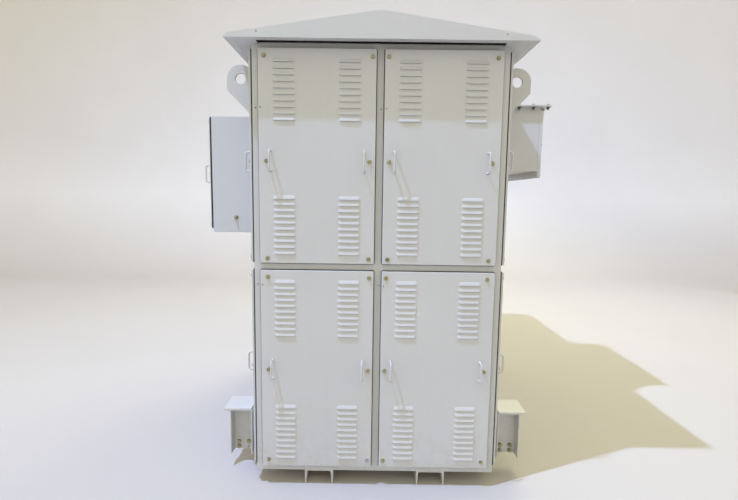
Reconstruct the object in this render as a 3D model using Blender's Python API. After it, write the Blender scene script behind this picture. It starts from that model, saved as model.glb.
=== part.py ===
"""Dry-type power transformer in an outdoor sheet-steel enclosure.

A louvred cabinet on two channel skids, under an open gable canopy. It has bolted
covers on every side, lifting lugs above, jacking brackets below, a terminal box on
its left and a cable box on its right. Metres, +Z up, the front faces -Y, and the
origin is on the ground under the middle of the whole outline.
"""

import math

import bmesh
import bpy
from mathutils import Matrix, Vector

# Clearances between touching pieces, and what the cuts and welds need
FIT_GAP = 0.0003
CUT_MARGIN = 0.010
WELD_DISTANCE = 0.00002
CURVE_WELD_DISTANCE = 0.00005
FLAT_ANGLE = math.radians(0.2)

# Skids, rolled channels laid with their toes down
SKID_WIDTH = 0.150
SKID_HEIGHT = 0.075
SKID_WEB = 0.006
SKID_FLANGE_ROOT = 0.011
SKID_FLANGE_TOE = 0.007
SKID_FILLET = 0.009
SKID_SPACING = 0.596
FILLET_MIDDLE_SHARE = 0.3

# Body, measured on the frame
BODY_WIDTH = 1.254
BODY_DEPTH = 1.940
FRAME_SHEET = 0.005
FRAME_COVERED = 0.044
BASE_RAIL_FACE = 0.0336
TRANSOM_FACE = 0.0364
TOP_RAIL_FACE = 0.028
CORNER_FACE = 0.033
MULLION_FACE = 0.0404
SIDE_CORNER_FACE = 0.014
LIFTING_POST_FACE = 0.040
LIFTING_POST_INSET = 0.210
FLOOR_SHEET = 0.004

# Bolted covers, trays on a flat gasket
LOWER_COVER_HEIGHT = 1.0494
UPPER_COVER_HEIGHT = 1.0436
COVER_PROUD = 0.020
GASKET_THICKNESS = 0.005
GASKET_OUTSET = 0.0035
GASKET_WIDTH = 0.0215
COVER_SHEET = 0.002

# Louvres, pressed hoods over open slots
LOUVRE_LENGTH = 0.096
LOUVRE_HEIGHT = 0.019
LOUVRE_DEPTH = 0.009
LOUVRE_END_TAPER = 0.006
LOUVRE_PITCH = 0.0305
LOUVRE_COUNT = 10
LOUVRE_COLUMN_SPACING = 0.321
LOUVRE_TOP_INSET = 0.047
LOUVRE_BOTTOM_INSET = 0.047
LOUVRE_LIP_SHARE = 0.8
LOUVRE_THROAT_SHARE = 1.6

# D handles of round rod
HANDLE_ROD_RADIUS = 0.005
HANDLE_HEIGHT = 0.108
HANDLE_REACH = 0.048
HANDLE_BEND = 0.014
HANDLE_OUTER_INSET = 0.067
HANDLE_INNER_INSET = 0.054
HANDLE_DROP = 0.014
SIDE_HANDLE_RISE = 0.007

# Gable canopy
ROOF_OVERHANG_SIDE = 0.108
ROOF_OVERHANG_FRONT = 0.100
ROOF_EAVE_DROP = 0.008
ROOF_EAVE_EDGE = 0.005
ROOF_DRIP_RUN = 0.022
ROOF_DRIP_RISE = 0.016
ROOF_RISE = 0.108
ROOF_SHEET = 0.002
ROOF_LIP_FRONT = 0.042
ROOF_LIP_SIDE = 0.038
SOFFIT_LAP = 0.010

# Lifting lugs
LUG_THICKNESS = 0.016
LUG_REACH = 0.1045
LUG_EYE_DROP = 0.122
LUG_EYE_RADIUS = 0.0275
LUG_RADIUS = 0.072
LUG_ARC = math.radians(130)
LUG_SIDE_DROP = 0.059
LUG_ARC_STEPS = 9
LUG_EYE_STEPS = 14

# Jacking brackets, a channel on end under a cap plate
BRACKET_WIDTH = 0.125
BRACKET_DEPTH = 0.065
BRACKET_WEB = 0.006
BRACKET_FLANGE_ROOT = 0.010
BRACKET_FLANGE_TOE = 0.007
BRACKET_FILLET = 0.008
BRACKET_HEIGHT = 0.256
BRACKET_STANDOFF = 0.063
BRACKET_CAP_WIDTH = 0.152
BRACKET_CAP_DEPTH = 0.166
BRACKET_CAP_THICKNESS = 0.012
BRACKET_CAP_INSET = 0.004
BRACKET_HOLE_RADIUS = 0.007
BRACKET_HOLE_ACROSS = 0.055
BRACKET_HOLE_RISE = 0.032
BRACKET_HOLE_BOTTOM = 0.013
BRACKET_HOLE_STEPS = 8
BAR_THICKNESS = 0.016
BAR_HEIGHT = 0.068
BAR_LENGTH = 0.180

# Terminal box on the left
TERMINAL_BOX_REACH = 0.335
TERMINAL_BOX_WIDTH = 0.500
TERMINAL_BOX_HEIGHT = 0.679
TERMINAL_BOX_RISE = 0.1156
TERMINAL_BOX_FRONT = 0.450
TERMINAL_COVER_SIDE_INSET = 0.004
TERMINAL_COVER_BOTTOM_INSET = 0.024
TERMINAL_COVER_TOP_INSET = 0.006
TERMINAL_COVER_PROUD = 0.016
TERMINAL_GASKET = 0.007
TERMINAL_HANDLE_INSET = 0.060

# Cable box on the right
CABLE_BOX_REACH = 0.360
CABLE_BOX_WIDTH = 0.660
CABLE_BOX_HEIGHT = 0.397
CABLE_BOX_DROP = 0.163
CABLE_BOX_FRONT = 0.640
CABLE_FLANGE_OVERHANG = 0.038
CABLE_FLANGE_THICKNESS = 0.005
CABLE_LID_THICKNESS = 0.004
CABLE_COVER_PROUD = 0.022
CABLE_COVER_BELOW = 0.041
CABLE_COVER_TOP_GAP = 0.015
BOX_SHEET = 0.003
BOX_RIM = 0.020

# Levels and faces that follow from the sizes above
FRAME_BOTTOM = SKID_HEIGHT + FIT_GAP
LOWER_COVER_BOTTOM = SKID_HEIGHT + BASE_RAIL_FACE
LOWER_COVER_TOP = LOWER_COVER_BOTTOM + LOWER_COVER_HEIGHT
UPPER_COVER_BOTTOM = LOWER_COVER_TOP + TRANSOM_FACE
UPPER_COVER_TOP = UPPER_COVER_BOTTOM + UPPER_COVER_HEIGHT
RAIL_TOP = UPPER_COVER_TOP + TOP_RAIL_FACE
HALF_WIDTH = BODY_WIDTH / 2
HALF_DEPTH = BODY_DEPTH / 2
FRONT_COVER_WIDTH = (BODY_WIDTH - 2 * CORNER_FACE - MULLION_FACE) / 2
SIDE_COVER_FACE = HALF_WIDTH + COVER_PROUD
HALF_POST_FACE = LIFTING_POST_FACE / 2
NARROW_COVER_WIDTH = LIFTING_POST_INSET - HALF_POST_FACE - SIDE_CORNER_FACE
WIDE_COVER_WIDTH = BODY_DEPTH - 2 * (LIFTING_POST_INSET + HALF_POST_FACE)
ROOF_HALF_WIDTH = HALF_WIDTH + ROOF_OVERHANG_SIDE
ROOF_HALF_DEPTH = HALF_DEPTH + ROOF_OVERHANG_FRONT
ROOF_EAVE_BOTTOM = RAIL_TOP - ROOF_EAVE_DROP
ROOF_KNEE = ROOF_EAVE_BOTTOM + ROOF_EAVE_EDGE + ROOF_DRIP_RISE
ROOF_APEX = ROOF_KNEE + ROOF_RISE
ROOF_KNEE_HALF_WIDTH = ROOF_HALF_WIDTH - ROOF_DRIP_RUN
ROOF_SLOPE = ROOF_RISE / ROOF_KNEE_HALF_WIDTH
SIDE_FRAME_TOP = ROOF_APEX - ROOF_SLOPE * HALF_WIDTH - ROOF_SHEET - FIT_GAP
LUG_EYE_HEIGHT = RAIL_TOP - LUG_EYE_DROP
TERMINAL_BOX_BOTTOM = UPPER_COVER_BOTTOM + TERMINAL_BOX_RISE
TERMINAL_BOX_SIDE = -SIDE_COVER_FACE - FIT_GAP - TERMINAL_BOX_REACH
CABLE_BOX_TOP = RAIL_TOP - CABLE_BOX_DROP
CABLE_BOX_BOTTOM = CABLE_BOX_TOP - CABLE_BOX_HEIGHT
CABLE_BOX_SIDE = SIDE_COVER_FACE + FIT_GAP + CABLE_BOX_REACH

PAINT = (0.57, 0.57, 0.60)
SHADED_PAINT = (0.50, 0.50, 0.52)
STEEL_PAINT = (0.55, 0.56, 0.58)


def fresh_collection(name):
    """Make a collection of this name in the scene."""
    collection = bpy.data.collections.new(name)
    bpy.context.scene.collection.children.link(collection)
    return collection


for old in list(bpy.data.objects):
    bpy.data.objects.remove(old, do_unlink=True)

PARTS = fresh_collection("power_transformer")
CUTTERS = fresh_collection("cutters")

ASSEMBLY = bpy.data.objects.new("assembly_origin", None)
PARTS.objects.link(ASSEMBLY)


def material_for(name, colour, roughness=0.42, metallic=0.0):
    """Make the piece's own material."""
    made = bpy.data.materials.new(name + "_paint")
    made.use_nodes = True
    shader = made.node_tree.nodes["Principled BSDF"]
    shader.inputs["Base Color"].default_value = (*colour, 1.0)
    shader.inputs["Roughness"].default_value = roughness
    shader.inputs["Metallic"].default_value = metallic
    return made


def place_piece(name, mesh, location=(0, 0, 0), turn=0.0, colour=PAINT):
    """Put a mesh in the assembly as a named piece with its own material."""
    piece = bpy.data.objects.new(name, mesh)
    piece.location = location
    piece.rotation_euler = (0, 0, turn)
    piece.parent = ASSEMBLY
    PARTS.objects.link(piece)
    if not mesh.materials:
        mesh.materials.append(None)
    piece.material_slots[0].link = "OBJECT"
    piece.material_slots[0].material = material_for(name, colour)
    return piece


def box_mesh(name, low, high):
    """Mesh of a box between two opposite corners."""
    low, high = Vector(low), Vector(high)
    size = high - low
    bm = bmesh.new()
    bmesh.ops.create_cube(bm, size=1.0)
    bmesh.ops.scale(bm, vec=size, verts=bm.verts)
    bmesh.ops.translate(bm, vec=(low + high) / 2, verts=bm.verts)
    mesh = bpy.data.meshes.new(name)
    bm.to_mesh(mesh)
    bm.free()
    return mesh


def outline_mesh(name, outlines, thickness, matrix=None):
    """Mesh of flat closed outlines, in XY, given a thickness along Z."""
    curve = bpy.data.curves.new(name, "CURVE")
    curve.dimensions = "2D"
    curve.fill_mode = "BOTH"
    curve.extrude = thickness / 2
    for outline in outlines:
        spline = curve.splines.new("POLY")
        spline.points.add(len(outline) - 1)
        for point, (u, v) in zip(spline.points, outline):
            point.co = (u, v, 0, 1)
        spline.use_cyclic_u = True
    return mesh_from_curve(name, curve, matrix)


def mesh_from_curve(name, curve, matrix=None):
    """Turn a curve into a closed mesh and weld its caps."""
    holder = bpy.data.objects.new(name, curve)
    CUTTERS.objects.link(holder)
    depsgraph = bpy.context.evaluated_depsgraph_get()
    mesh = bpy.data.meshes.new_from_object(holder.evaluated_get(depsgraph))
    bpy.data.objects.remove(holder, do_unlink=True)
    bm = bmesh.new()
    bm.from_mesh(mesh)
    bmesh.ops.remove_doubles(bm, verts=bm.verts, dist=CURVE_WELD_DISTANCE)
    if matrix is not None:
        bmesh.ops.transform(bm, matrix=matrix, verts=bm.verts)
    bmesh.ops.recalc_face_normals(bm, faces=bm.faces)
    bm.to_mesh(mesh)
    bm.free()
    return mesh


def combined(name, base, steps):
    """Join to a mesh, or cut from it, each (operation, mesh) in turn."""
    holder = bpy.data.objects.new(name, base)
    CUTTERS.objects.link(holder)
    tools = []
    for operation, tool_mesh in steps:
        tool = bpy.data.objects.new(name + "_tool", tool_mesh)
        tool.hide_render = True
        tool.display_type = "WIRE"
        CUTTERS.objects.link(tool)
        tools.append(tool)
        change = holder.modifiers.new(operation.lower(), "BOOLEAN")
        change.operation = operation
        change.object = tool
        change.solver = "EXACT"
    depsgraph = bpy.context.evaluated_depsgraph_get()
    mesh = bpy.data.meshes.new_from_object(holder.evaluated_get(depsgraph))
    mesh.name = name
    for used in [holder, *tools]:
        bpy.data.objects.remove(used, do_unlink=True)
    bm = bmesh.new()
    bm.from_mesh(mesh)
    bmesh.ops.remove_doubles(bm, verts=bm.verts, dist=WELD_DISTANCE)
    bmesh.ops.dissolve_limit(bm, angle_limit=FLAT_ANGLE, verts=bm.verts, edges=bm.edges)
    bm.to_mesh(mesh)
    bm.free()
    return mesh


def pattern(mesh, offsets):
    """Mesh of copies of one solid at each offset."""
    bm = bmesh.new()
    for offset in offsets:
        before = len(bm.verts)
        bm.from_mesh(mesh)
        bm.verts.ensure_lookup_table()
        bmesh.ops.translate(bm, vec=offset, verts=bm.verts[before:])
    patterned = bpy.data.meshes.new(mesh.name + "_pattern")
    bm.to_mesh(patterned)
    bm.free()
    return patterned


def channel_outline(width, depth, web, root, toe, fillet):
    """Rolled channel section: web along X at the top, tapered flanges down."""
    half = width / 2
    middle = fillet * FILLET_MIDDLE_SHARE
    right = [
        (half, 0),
        (half, -depth),
        (half - toe, -depth),
        (half - root, -web - fillet),
        (half - root - middle, -web - middle),
        (half - root - fillet, -web),
    ]
    left = [(-x, y) for x, y in reversed(right)]
    return right + left


# Skids
def make_skids():
    outline = channel_outline(
        SKID_WIDTH, SKID_HEIGHT, SKID_WEB, SKID_FLANGE_ROOT, SKID_FLANGE_TOE, SKID_FILLET)
    along_y = Matrix.Rotation(math.radians(90), 4, "X")
    mesh = outline_mesh("skid", [outline], BODY_DEPTH, along_y)
    for side, sign in (("left", -1), ("right", 1)):
        spot = (sign * SKID_SPACING / 2, 0, SKID_HEIGHT)
        place_piece(f"{side}_skid", mesh, spot, colour=STEEL_PAINT)


# Frames: a flat sheet frame on each side of the body, with a window behind each cover
def side_cover_spans():
    """Spans along Y of the covers on one side, from front to rear."""
    edge = HALF_DEPTH - SIDE_CORNER_FACE
    inner = HALF_DEPTH - LIFTING_POST_INSET
    return {
        "front": (-edge, -inner - HALF_POST_FACE),
        "middle": (-inner + HALF_POST_FACE, inner - HALF_POST_FACE),
        "rear": (inner + HALF_POST_FACE, edge),
    }


STOREYS = {
    "lower": (LOWER_COVER_BOTTOM, LOWER_COVER_TOP),
    "upper": (UPPER_COVER_BOTTOM, UPPER_COVER_TOP),
}


def front_cover_spans():
    """Spans along X of the two covers on the front."""
    near = MULLION_FACE / 2
    far = HALF_WIDTH - CORNER_FACE
    return {"left": (-far, -near), "right": (near, far)}


def frame_mesh(name, half_length, top, spans):
    """Frame along X with its outer face on y=0, and a window behind each cover."""
    plate = box_mesh(name, (-half_length, 0, FRAME_BOTTOM), (half_length, FRAME_SHEET, top))
    steps = []
    for start, end in spans:
        for low, high in STOREYS.values():
            steps.append(("DIFFERENCE", box_mesh(
                "window",
                (start + FRAME_COVERED, -CUT_MARGIN, low + FRAME_COVERED),
                (end - FRAME_COVERED, FRAME_SHEET + CUT_MARGIN, high - FRAME_COVERED))))
    return combined(name, plate, steps)


def make_frames():
    """Side frames carry the canopy; the others stop below it, so warm air gets out."""
    front = frame_mesh("front_frame", HALF_WIDTH, RAIL_TOP, front_cover_spans().values())
    place_piece("front_frame", front, (0, -HALF_DEPTH, 0), colour=SHADED_PAINT)
    place_piece("rear_frame", front, (0, HALF_DEPTH, 0), math.pi, colour=SHADED_PAINT)
    between = HALF_DEPTH - FRAME_SHEET - FIT_GAP
    side = frame_mesh("side_frame", between, SIDE_FRAME_TOP, side_cover_spans().values())
    quarter = math.pi / 2
    for name, sign in (("left", -1), ("right", 1)):
        place_piece(
            f"{name}_side_frame", side, (sign * HALF_WIDTH, 0, 0), sign * quarter,
            colour=SHADED_PAINT)


def make_floor():
    floor_x = HALF_WIDTH - FRAME_SHEET - FIT_GAP
    floor_y = HALF_DEPTH - FRAME_SHEET - FIT_GAP
    floor = box_mesh(
        "floor_plate",
        (-floor_x, -floor_y, FRAME_BOTTOM), (floor_x, floor_y, FRAME_BOTTOM + FLOOR_SHEET))
    place_piece("floor_plate", floor, colour=SHADED_PAINT)


# Covers
def tray_mesh(width, height, proud, gasket):
    """Tray that opens inwards, with a wider gasket ring behind its rim.

    It stands on the plane y=0, centred on x=0, and rises from z=0; its face is at -y.
    """
    bm = bmesh.new()
    bmesh.ops.create_cube(bm, size=1.0)
    bmesh.ops.scale(bm, vec=(width, proud - gasket, height), verts=bm.verts)
    middle = -gasket - (proud - gasket) / 2
    bmesh.ops.translate(bm, vec=(0, middle, height / 2), verts=bm.verts)
    back = max(bm.faces, key=lambda face: face.calc_center_median().y)
    bmesh.ops.inset_individual(bm, faces=[back], thickness=-GASKET_OUTSET, use_even_offset=True)
    back = push_face(bm, back, gasket - FIT_GAP)
    bmesh.ops.inset_individual(bm, faces=[back], thickness=GASKET_WIDTH, use_even_offset=True)
    push_face(bm, back, -(proud - COVER_SHEET - FIT_GAP))
    mesh = bpy.data.meshes.new("tray")
    bmesh.ops.recalc_face_normals(bm, faces=bm.faces)
    bm.to_mesh(mesh)
    bm.free()
    return mesh


def push_face(bm, face, distance):
    """Extrude one face along +y by a distance, inwards if it is negative."""
    extruded = bmesh.ops.extrude_discrete_faces(bm, faces=[face])["faces"][0]
    bmesh.ops.translate(bm, vec=(0, distance, 0), verts=extruded.verts)
    return extruded


def louvre_wedge(name, length, taper, outline):
    """Wedge along X from its outline in YZ, its outer lip shorter than its base."""
    turn = Matrix(((0, 0, 1, 0), (1, 0, 0, 0), (0, 1, 0, 0), (0, 0, 0, 1)))
    mesh = outline_mesh(name, [outline], length, turn)
    bm = bmesh.new()
    bm.from_mesh(mesh)
    lip_y = min(v.co.y for v in bm.verts)
    lip = [v for v in bm.verts if v.co.y < lip_y + FIT_GAP]
    bmesh.ops.scale(bm, vec=(1 - 2 * taper / length, 1, 1), verts=lip)
    bm.to_mesh(mesh)
    bm.free()
    return mesh


def louvre_solids():
    """Pressed hood of one louvre, and the open throat cut up behind it."""
    sheet = COVER_SHEET
    buried = LOUVRE_HEIGHT * (1 + sheet / 2 / LOUVRE_DEPTH)
    hood = louvre_wedge("hood", LOUVRE_LENGTH, LOUVRE_END_TAPER, [
        (sheet / 2, buried), (-LOUVRE_DEPTH, 0), (sheet / 2, 0)])
    throat_lip = -LOUVRE_DEPTH + sheet * LOUVRE_LIP_SHARE
    behind = sheet * LOUVRE_THROAT_SHARE
    throat = louvre_wedge("throat", LOUVRE_LENGTH - 2 * sheet, LOUVRE_END_TAPER, [
        (behind, LOUVRE_HEIGHT), (throat_lip, -sheet / 2), (behind, sheet)])
    return hood, throat


def louvre_offsets(height):
    """Places of the slots on one cover: two columns in two groups."""
    first_top = height - LOUVRE_TOP_INSET - LOUVRE_HEIGHT
    first_bottom = LOUVRE_BOTTOM_INSET
    offsets = []
    for row in range(LOUVRE_COUNT):
        for level in (first_top - row * LOUVRE_PITCH, first_bottom + row * LOUVRE_PITCH):
            for sign in (-1, 1):
                offsets.append((sign * LOUVRE_COLUMN_SPACING / 2, 0, level))
    return offsets


def handle_mesh(spots, face):
    """D handles of bent rod, standing out from y=face at each (x, z)."""
    half = HANDLE_HEIGHT / 2 - HANDLE_ROD_RADIUS
    out = face - HANDLE_REACH + HANDLE_ROD_RADIUS
    root = face + COVER_SHEET / 2
    path = [(root, half), (out + HANDLE_BEND, half), (out, half - HANDLE_BEND)]
    path += [(y, -z) for y, z in reversed(path)]
    curve = bpy.data.curves.new("handle", "CURVE")
    curve.dimensions = "3D"
    curve.bevel_depth = HANDLE_ROD_RADIUS
    curve.bevel_resolution = 1
    curve.use_fill_caps = True
    for x, z in spots:
        spline = curve.splines.new("POLY")
        spline.points.add(len(path) - 1)
        for point, (y, rise) in zip(spline.points, path):
            point.co = (x, y, z + rise, 1)
    return mesh_from_curve("handle", curve)


def cover_mesh(name, width, height, handle_spots, louvred):
    """Whole cover: tray, gasket ring, D handles and, on some, louvres."""
    tray = tray_mesh(width, height, COVER_PROUD, GASKET_THICKNESS)
    steps = []
    if louvred:
        hood, throat = louvre_solids()
        at_face = [(x, -COVER_PROUD, z) for x, _, z in louvre_offsets(height)]
        steps.append(("UNION", pattern(hood, at_face)))
        steps.append(("DIFFERENCE", pattern(throat, at_face)))
    steps.append(("UNION", handle_mesh(handle_spots, -COVER_PROUD)))
    return combined(name, tray, steps)


def make_front_and_rear_covers():
    centre = MULLION_FACE / 2 + FRONT_COVER_WIDTH / 2
    half = FRONT_COVER_WIDTH / 2
    for storey, (low, high) in STOREYS.items():
        height = high - low
        middle = height / 2 - (HANDLE_DROP if storey == "upper" else -HANDLE_DROP / 2)
        for hand, sign in (("left", -1), ("right", 1)):
            outer = (sign * (half - HANDLE_OUTER_INSET), middle)
            inner = (-sign * (half - HANDLE_INNER_INSET), middle)
            mesh = cover_mesh(
                f"{storey}_{hand}_cover", FRONT_COVER_WIDTH, height, [outer, inner], True)
            place_piece(
                f"front_{storey}_{hand}_cover", mesh, (sign * centre, -HALF_DEPTH, low))
            other = "right" if hand == "left" else "left"
            place_piece(
                f"rear_{storey}_{other}_cover", mesh,
                (-sign * centre, HALF_DEPTH, low), math.pi)


def make_side_covers():
    quarter = math.pi / 2
    for storey, (low, high) in STOREYS.items():
        height = high - low
        middle = height / 2 + SIDE_HANDLE_RISE
        narrow = cover_mesh(
            f"{storey}_narrow_cover", NARROW_COVER_WIDTH, height, [(0, middle)], False)
        reach = WIDE_COVER_WIDTH / 2 - HANDLE_OUTER_INSET
        wide = cover_mesh(
            f"{storey}_wide_cover", WIDE_COVER_WIDTH, height,
            [(-reach, middle), (reach, middle)], False)
        for side, sign in (("left", -1), ("right", 1)):
            for place, (start, end) in side_cover_spans().items():
                mesh = wide if place == "middle" else narrow
                place_piece(
                    f"{side}_{storey}_{place}_cover", mesh,
                    (sign * HALF_WIDTH, (start + end) / 2, low), sign * quarter)


# Roof
def make_roof():
    half, knee_half = ROOF_HALF_WIDTH, ROOF_KNEE_HALF_WIDTH
    edge = ROOF_EAVE_BOTTOM + ROOF_EAVE_EDGE
    right = [(half, ROOF_EAVE_BOTTOM), (half, edge), (knee_half, ROOF_KNEE)]
    outer = right + [(0, ROOF_APEX)] + [(-x, z) for x, z in reversed(right)]
    sheet = ROOF_SHEET
    floor = ROOF_EAVE_BOTTOM + sheet
    drip_edge = edge + sheet * ROOF_DRIP_RISE / ROOF_DRIP_RUN - sheet
    inner_right = [
        (half - sheet, floor), (half - sheet, drip_edge), (knee_half, ROOF_KNEE - sheet)]
    inner = inner_right + [(0, ROOF_APEX - sheet)]
    inner += [(-x, z) for x, z in reversed(inner_right)]
    along_y = Matrix.Rotation(math.radians(90), 4, "X")
    skin = outline_mesh("roof_skin", [outer], 2 * ROOF_HALF_DEPTH, along_y)
    hollow = outline_mesh("roof_hollow", [inner], 2 * (ROOF_HALF_DEPTH - sheet), along_y)
    mouth_x = half - ROOF_LIP_SIDE
    mouth_y = ROOF_HALF_DEPTH - ROOF_LIP_FRONT
    mouth = box_mesh(
        "roof_mouth",
        (-mouth_x, -mouth_y, ROOF_EAVE_BOTTOM - CUT_MARGIN), (mouth_x, mouth_y, edge))
    mesh = combined("roof_canopy", skin, [
        ("DIFFERENCE", hollow), ("DIFFERENCE", mouth), ("UNION", soffit_mesh(mouth_x, mouth_y))])
    place_piece("roof_canopy", mesh)


def soffit_mesh(mouth_x, mouth_y):
    """Flat sheet on the lips, open over the body and before each front between its corners."""
    low, high = ROOF_EAVE_BOTTOM + ROOF_SHEET / 2, ROOF_EAVE_BOTTOM + 2 * ROOF_SHEET
    reach_x, reach_y = mouth_x + SOFFIT_LAP, mouth_y + SOFFIT_LAP
    sheet = box_mesh("soffit", (-reach_x, -reach_y, low), (reach_x, reach_y, high))
    body_x, body_y = HALF_WIDTH + FIT_GAP, HALF_DEPTH + FIT_GAP
    slot_x, slot_y = HALF_WIDTH - CORNER_FACE, mouth_y
    under, over = low - CUT_MARGIN, high + CUT_MARGIN
    body = box_mesh("body", (-body_x, -body_y, under), (body_x, body_y, over))
    slot = box_mesh("slot", (-slot_x, -slot_y, under), (slot_x, slot_y, over))
    return combined("soffit", sheet, [("DIFFERENCE", body), ("DIFFERENCE", slot)])


# Lifting lugs
def make_lugs():
    root = 0
    eye = LUG_REACH
    arc = []
    for step in range(LUG_ARC_STEPS + 1):
        angle = LUG_ARC * (1 - step / LUG_ARC_STEPS)
        arc.append((eye + LUG_RADIUS * math.cos(angle), LUG_RADIUS * math.sin(angle)))
    outer_edge = eye + LUG_RADIUS
    outline = [(root, LUG_RADIUS * math.sin(LUG_ARC))] + arc
    outline += [(outer_edge, -LUG_SIDE_DROP), (root, -LUG_SIDE_DROP - outer_edge)]
    hole = []
    for step in range(LUG_EYE_STEPS):
        angle = 2 * math.pi * step / LUG_EYE_STEPS
        hole.append((eye + LUG_EYE_RADIUS * math.cos(angle), LUG_EYE_RADIUS * math.sin(angle)))
    upright = Matrix.Rotation(math.radians(90), 4, "X")
    mesh = outline_mesh("lifting_lug", [outline, hole], LUG_THICKNESS, upright)
    for side, sign_x in (("left", -1), ("right", 1)):
        for end, sign_y in (("front", -1), ("rear", 1)):
            spot = (
                sign_x * (HALF_WIDTH + FIT_GAP), sign_y * (HALF_DEPTH - LIFTING_POST_INSET),
                LUG_EYE_HEIGHT)
            place_piece(
                f"{end}_{side}_lifting_lug", mesh, spot,
                0 if sign_x > 0 else math.pi, colour=STEEL_PAINT)


# Jacking brackets
def make_brackets():
    outline = channel_outline(
        BRACKET_WIDTH, BRACKET_DEPTH, BRACKET_WEB, BRACKET_FLANGE_ROOT,
        BRACKET_FLANGE_TOE, BRACKET_FILLET)
    lift = Matrix.Translation((0, 0, BRACKET_HEIGHT / 2))
    channel = outline_mesh("channel", [outline], BRACKET_HEIGHT, lift)
    half = BRACKET_WIDTH / 2
    for hand, sign in (("right", 1), ("left", -1)):
        inner = sign * (-half + BRACKET_CAP_INSET)
        outer = inner + sign * BRACKET_CAP_WIDTH
        cap = box_mesh(
            "cap",
            (min(inner, outer), -BRACKET_DEPTH, BRACKET_HEIGHT - FIT_GAP),
            (max(inner, outer), BRACKET_CAP_DEPTH - BRACKET_DEPTH,
             BRACKET_HEIGHT + BRACKET_CAP_THICKNESS))
        steps = [("UNION", cap)]
        bm = bmesh.new()
        bmesh.ops.create_cone(
            bm, cap_ends=True, segments=BRACKET_HOLE_STEPS,
            radius1=BRACKET_HOLE_RADIUS, radius2=BRACKET_HOLE_RADIUS,
            depth=4 * BRACKET_WEB,
            matrix=Matrix.Rotation(math.radians(90), 4, "X"))
        drill = bpy.data.meshes.new("drill")
        bm.to_mesh(drill)
        bm.free()
        across = BRACKET_HOLE_ACROSS / 2
        levels = (BRACKET_HOLE_BOTTOM, BRACKET_HOLE_BOTTOM + BRACKET_HOLE_RISE)
        holes = [(x, 0, z) for x in (-across, across) for z in levels]
        steps.append(("DIFFERENCE", pattern(drill, holes)))
        mesh = combined(f"{hand}_jacking_bracket", channel.copy(), steps)
        x = sign * (HALF_WIDTH + BRACKET_STANDOFF + half)
        y = -HALF_DEPTH + LIFTING_POST_INSET - FIT_GAP
        place_piece(
            f"front_{hand}_jacking_bracket", mesh, (x, y, FRAME_BOTTOM), colour=STEEL_PAINT)
        other = "left" if hand == "right" else "right"
        place_piece(
            f"rear_{other}_jacking_bracket", mesh, (-x, -y, FRAME_BOTTOM), math.pi,
            colour=STEEL_PAINT)


def make_bars():
    """Flat bars welded to the frame, which the bracket webs are bolted to."""
    for side, sign_x in (("left", -1), ("right", 1)):
        for end, sign_y in (("front", -1), ("rear", 1)):
            x0 = sign_x * (HALF_WIDTH + FIT_GAP)
            x1 = sign_x * (HALF_WIDTH + BAR_LENGTH)
            y0 = sign_y * (HALF_DEPTH - LIFTING_POST_INSET)
            y1 = y0 - sign_y * BAR_THICKNESS
            bar = box_mesh(
                "jacking_bar",
                (min(x0, x1), min(y0, y1), FRAME_BOTTOM),
                (max(x0, x1), max(y0, y1), FRAME_BOTTOM + BAR_HEIGHT))
            place_piece(f"{end}_{side}_jacking_bar", bar, colour=STEEL_PAINT)


# Terminal box on the left side
def make_terminal_box():
    outer_x = TERMINAL_BOX_SIDE
    front = -HALF_DEPTH + TERMINAL_BOX_FRONT
    rear = front + TERMINAL_BOX_WIDTH
    top = TERMINAL_BOX_BOTTOM + TERMINAL_BOX_HEIGHT
    cover_low = TERMINAL_BOX_BOTTOM + TERMINAL_COVER_BOTTOM_INSET
    shell = box_mesh(
        "terminal_box", (outer_x, front, TERMINAL_BOX_BOTTOM),
        (-SIDE_COVER_FACE - FIT_GAP, rear, top))
    pocket = box_mesh(
        "pocket",
        (outer_x + BOX_SHEET, front + BOX_SHEET, TERMINAL_BOX_BOTTOM + BOX_SHEET),
        (-SIDE_COVER_FACE - BOX_SHEET, rear - BOX_SHEET, top - BOX_SHEET))
    mouth = box_mesh(
        "mouth",
        (outer_x - CUT_MARGIN, front + BOX_RIM, cover_low + BOX_RIM),
        (outer_x + CUT_MARGIN, rear - BOX_RIM, top - BOX_RIM))
    mesh = combined("terminal_box", shell, [("DIFFERENCE", pocket), ("DIFFERENCE", mouth)])
    place_piece("terminal_box", mesh)
    height = top - TERMINAL_COVER_TOP_INSET - cover_low
    width = TERMINAL_BOX_WIDTH - 2 * TERMINAL_COVER_SIDE_INSET
    reach = width / 2 - TERMINAL_HANDLE_INSET
    tray = tray_mesh(width, height, TERMINAL_COVER_PROUD, TERMINAL_GASKET)
    handles = handle_mesh([(-reach, height / 2), (reach, height / 2)], -TERMINAL_COVER_PROUD)
    mesh = combined("terminal_box_cover", tray, [("UNION", handles)])
    place_piece(
        "terminal_box_cover", mesh, (outer_x, (front + rear) / 2, cover_low), -math.pi / 2)


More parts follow.
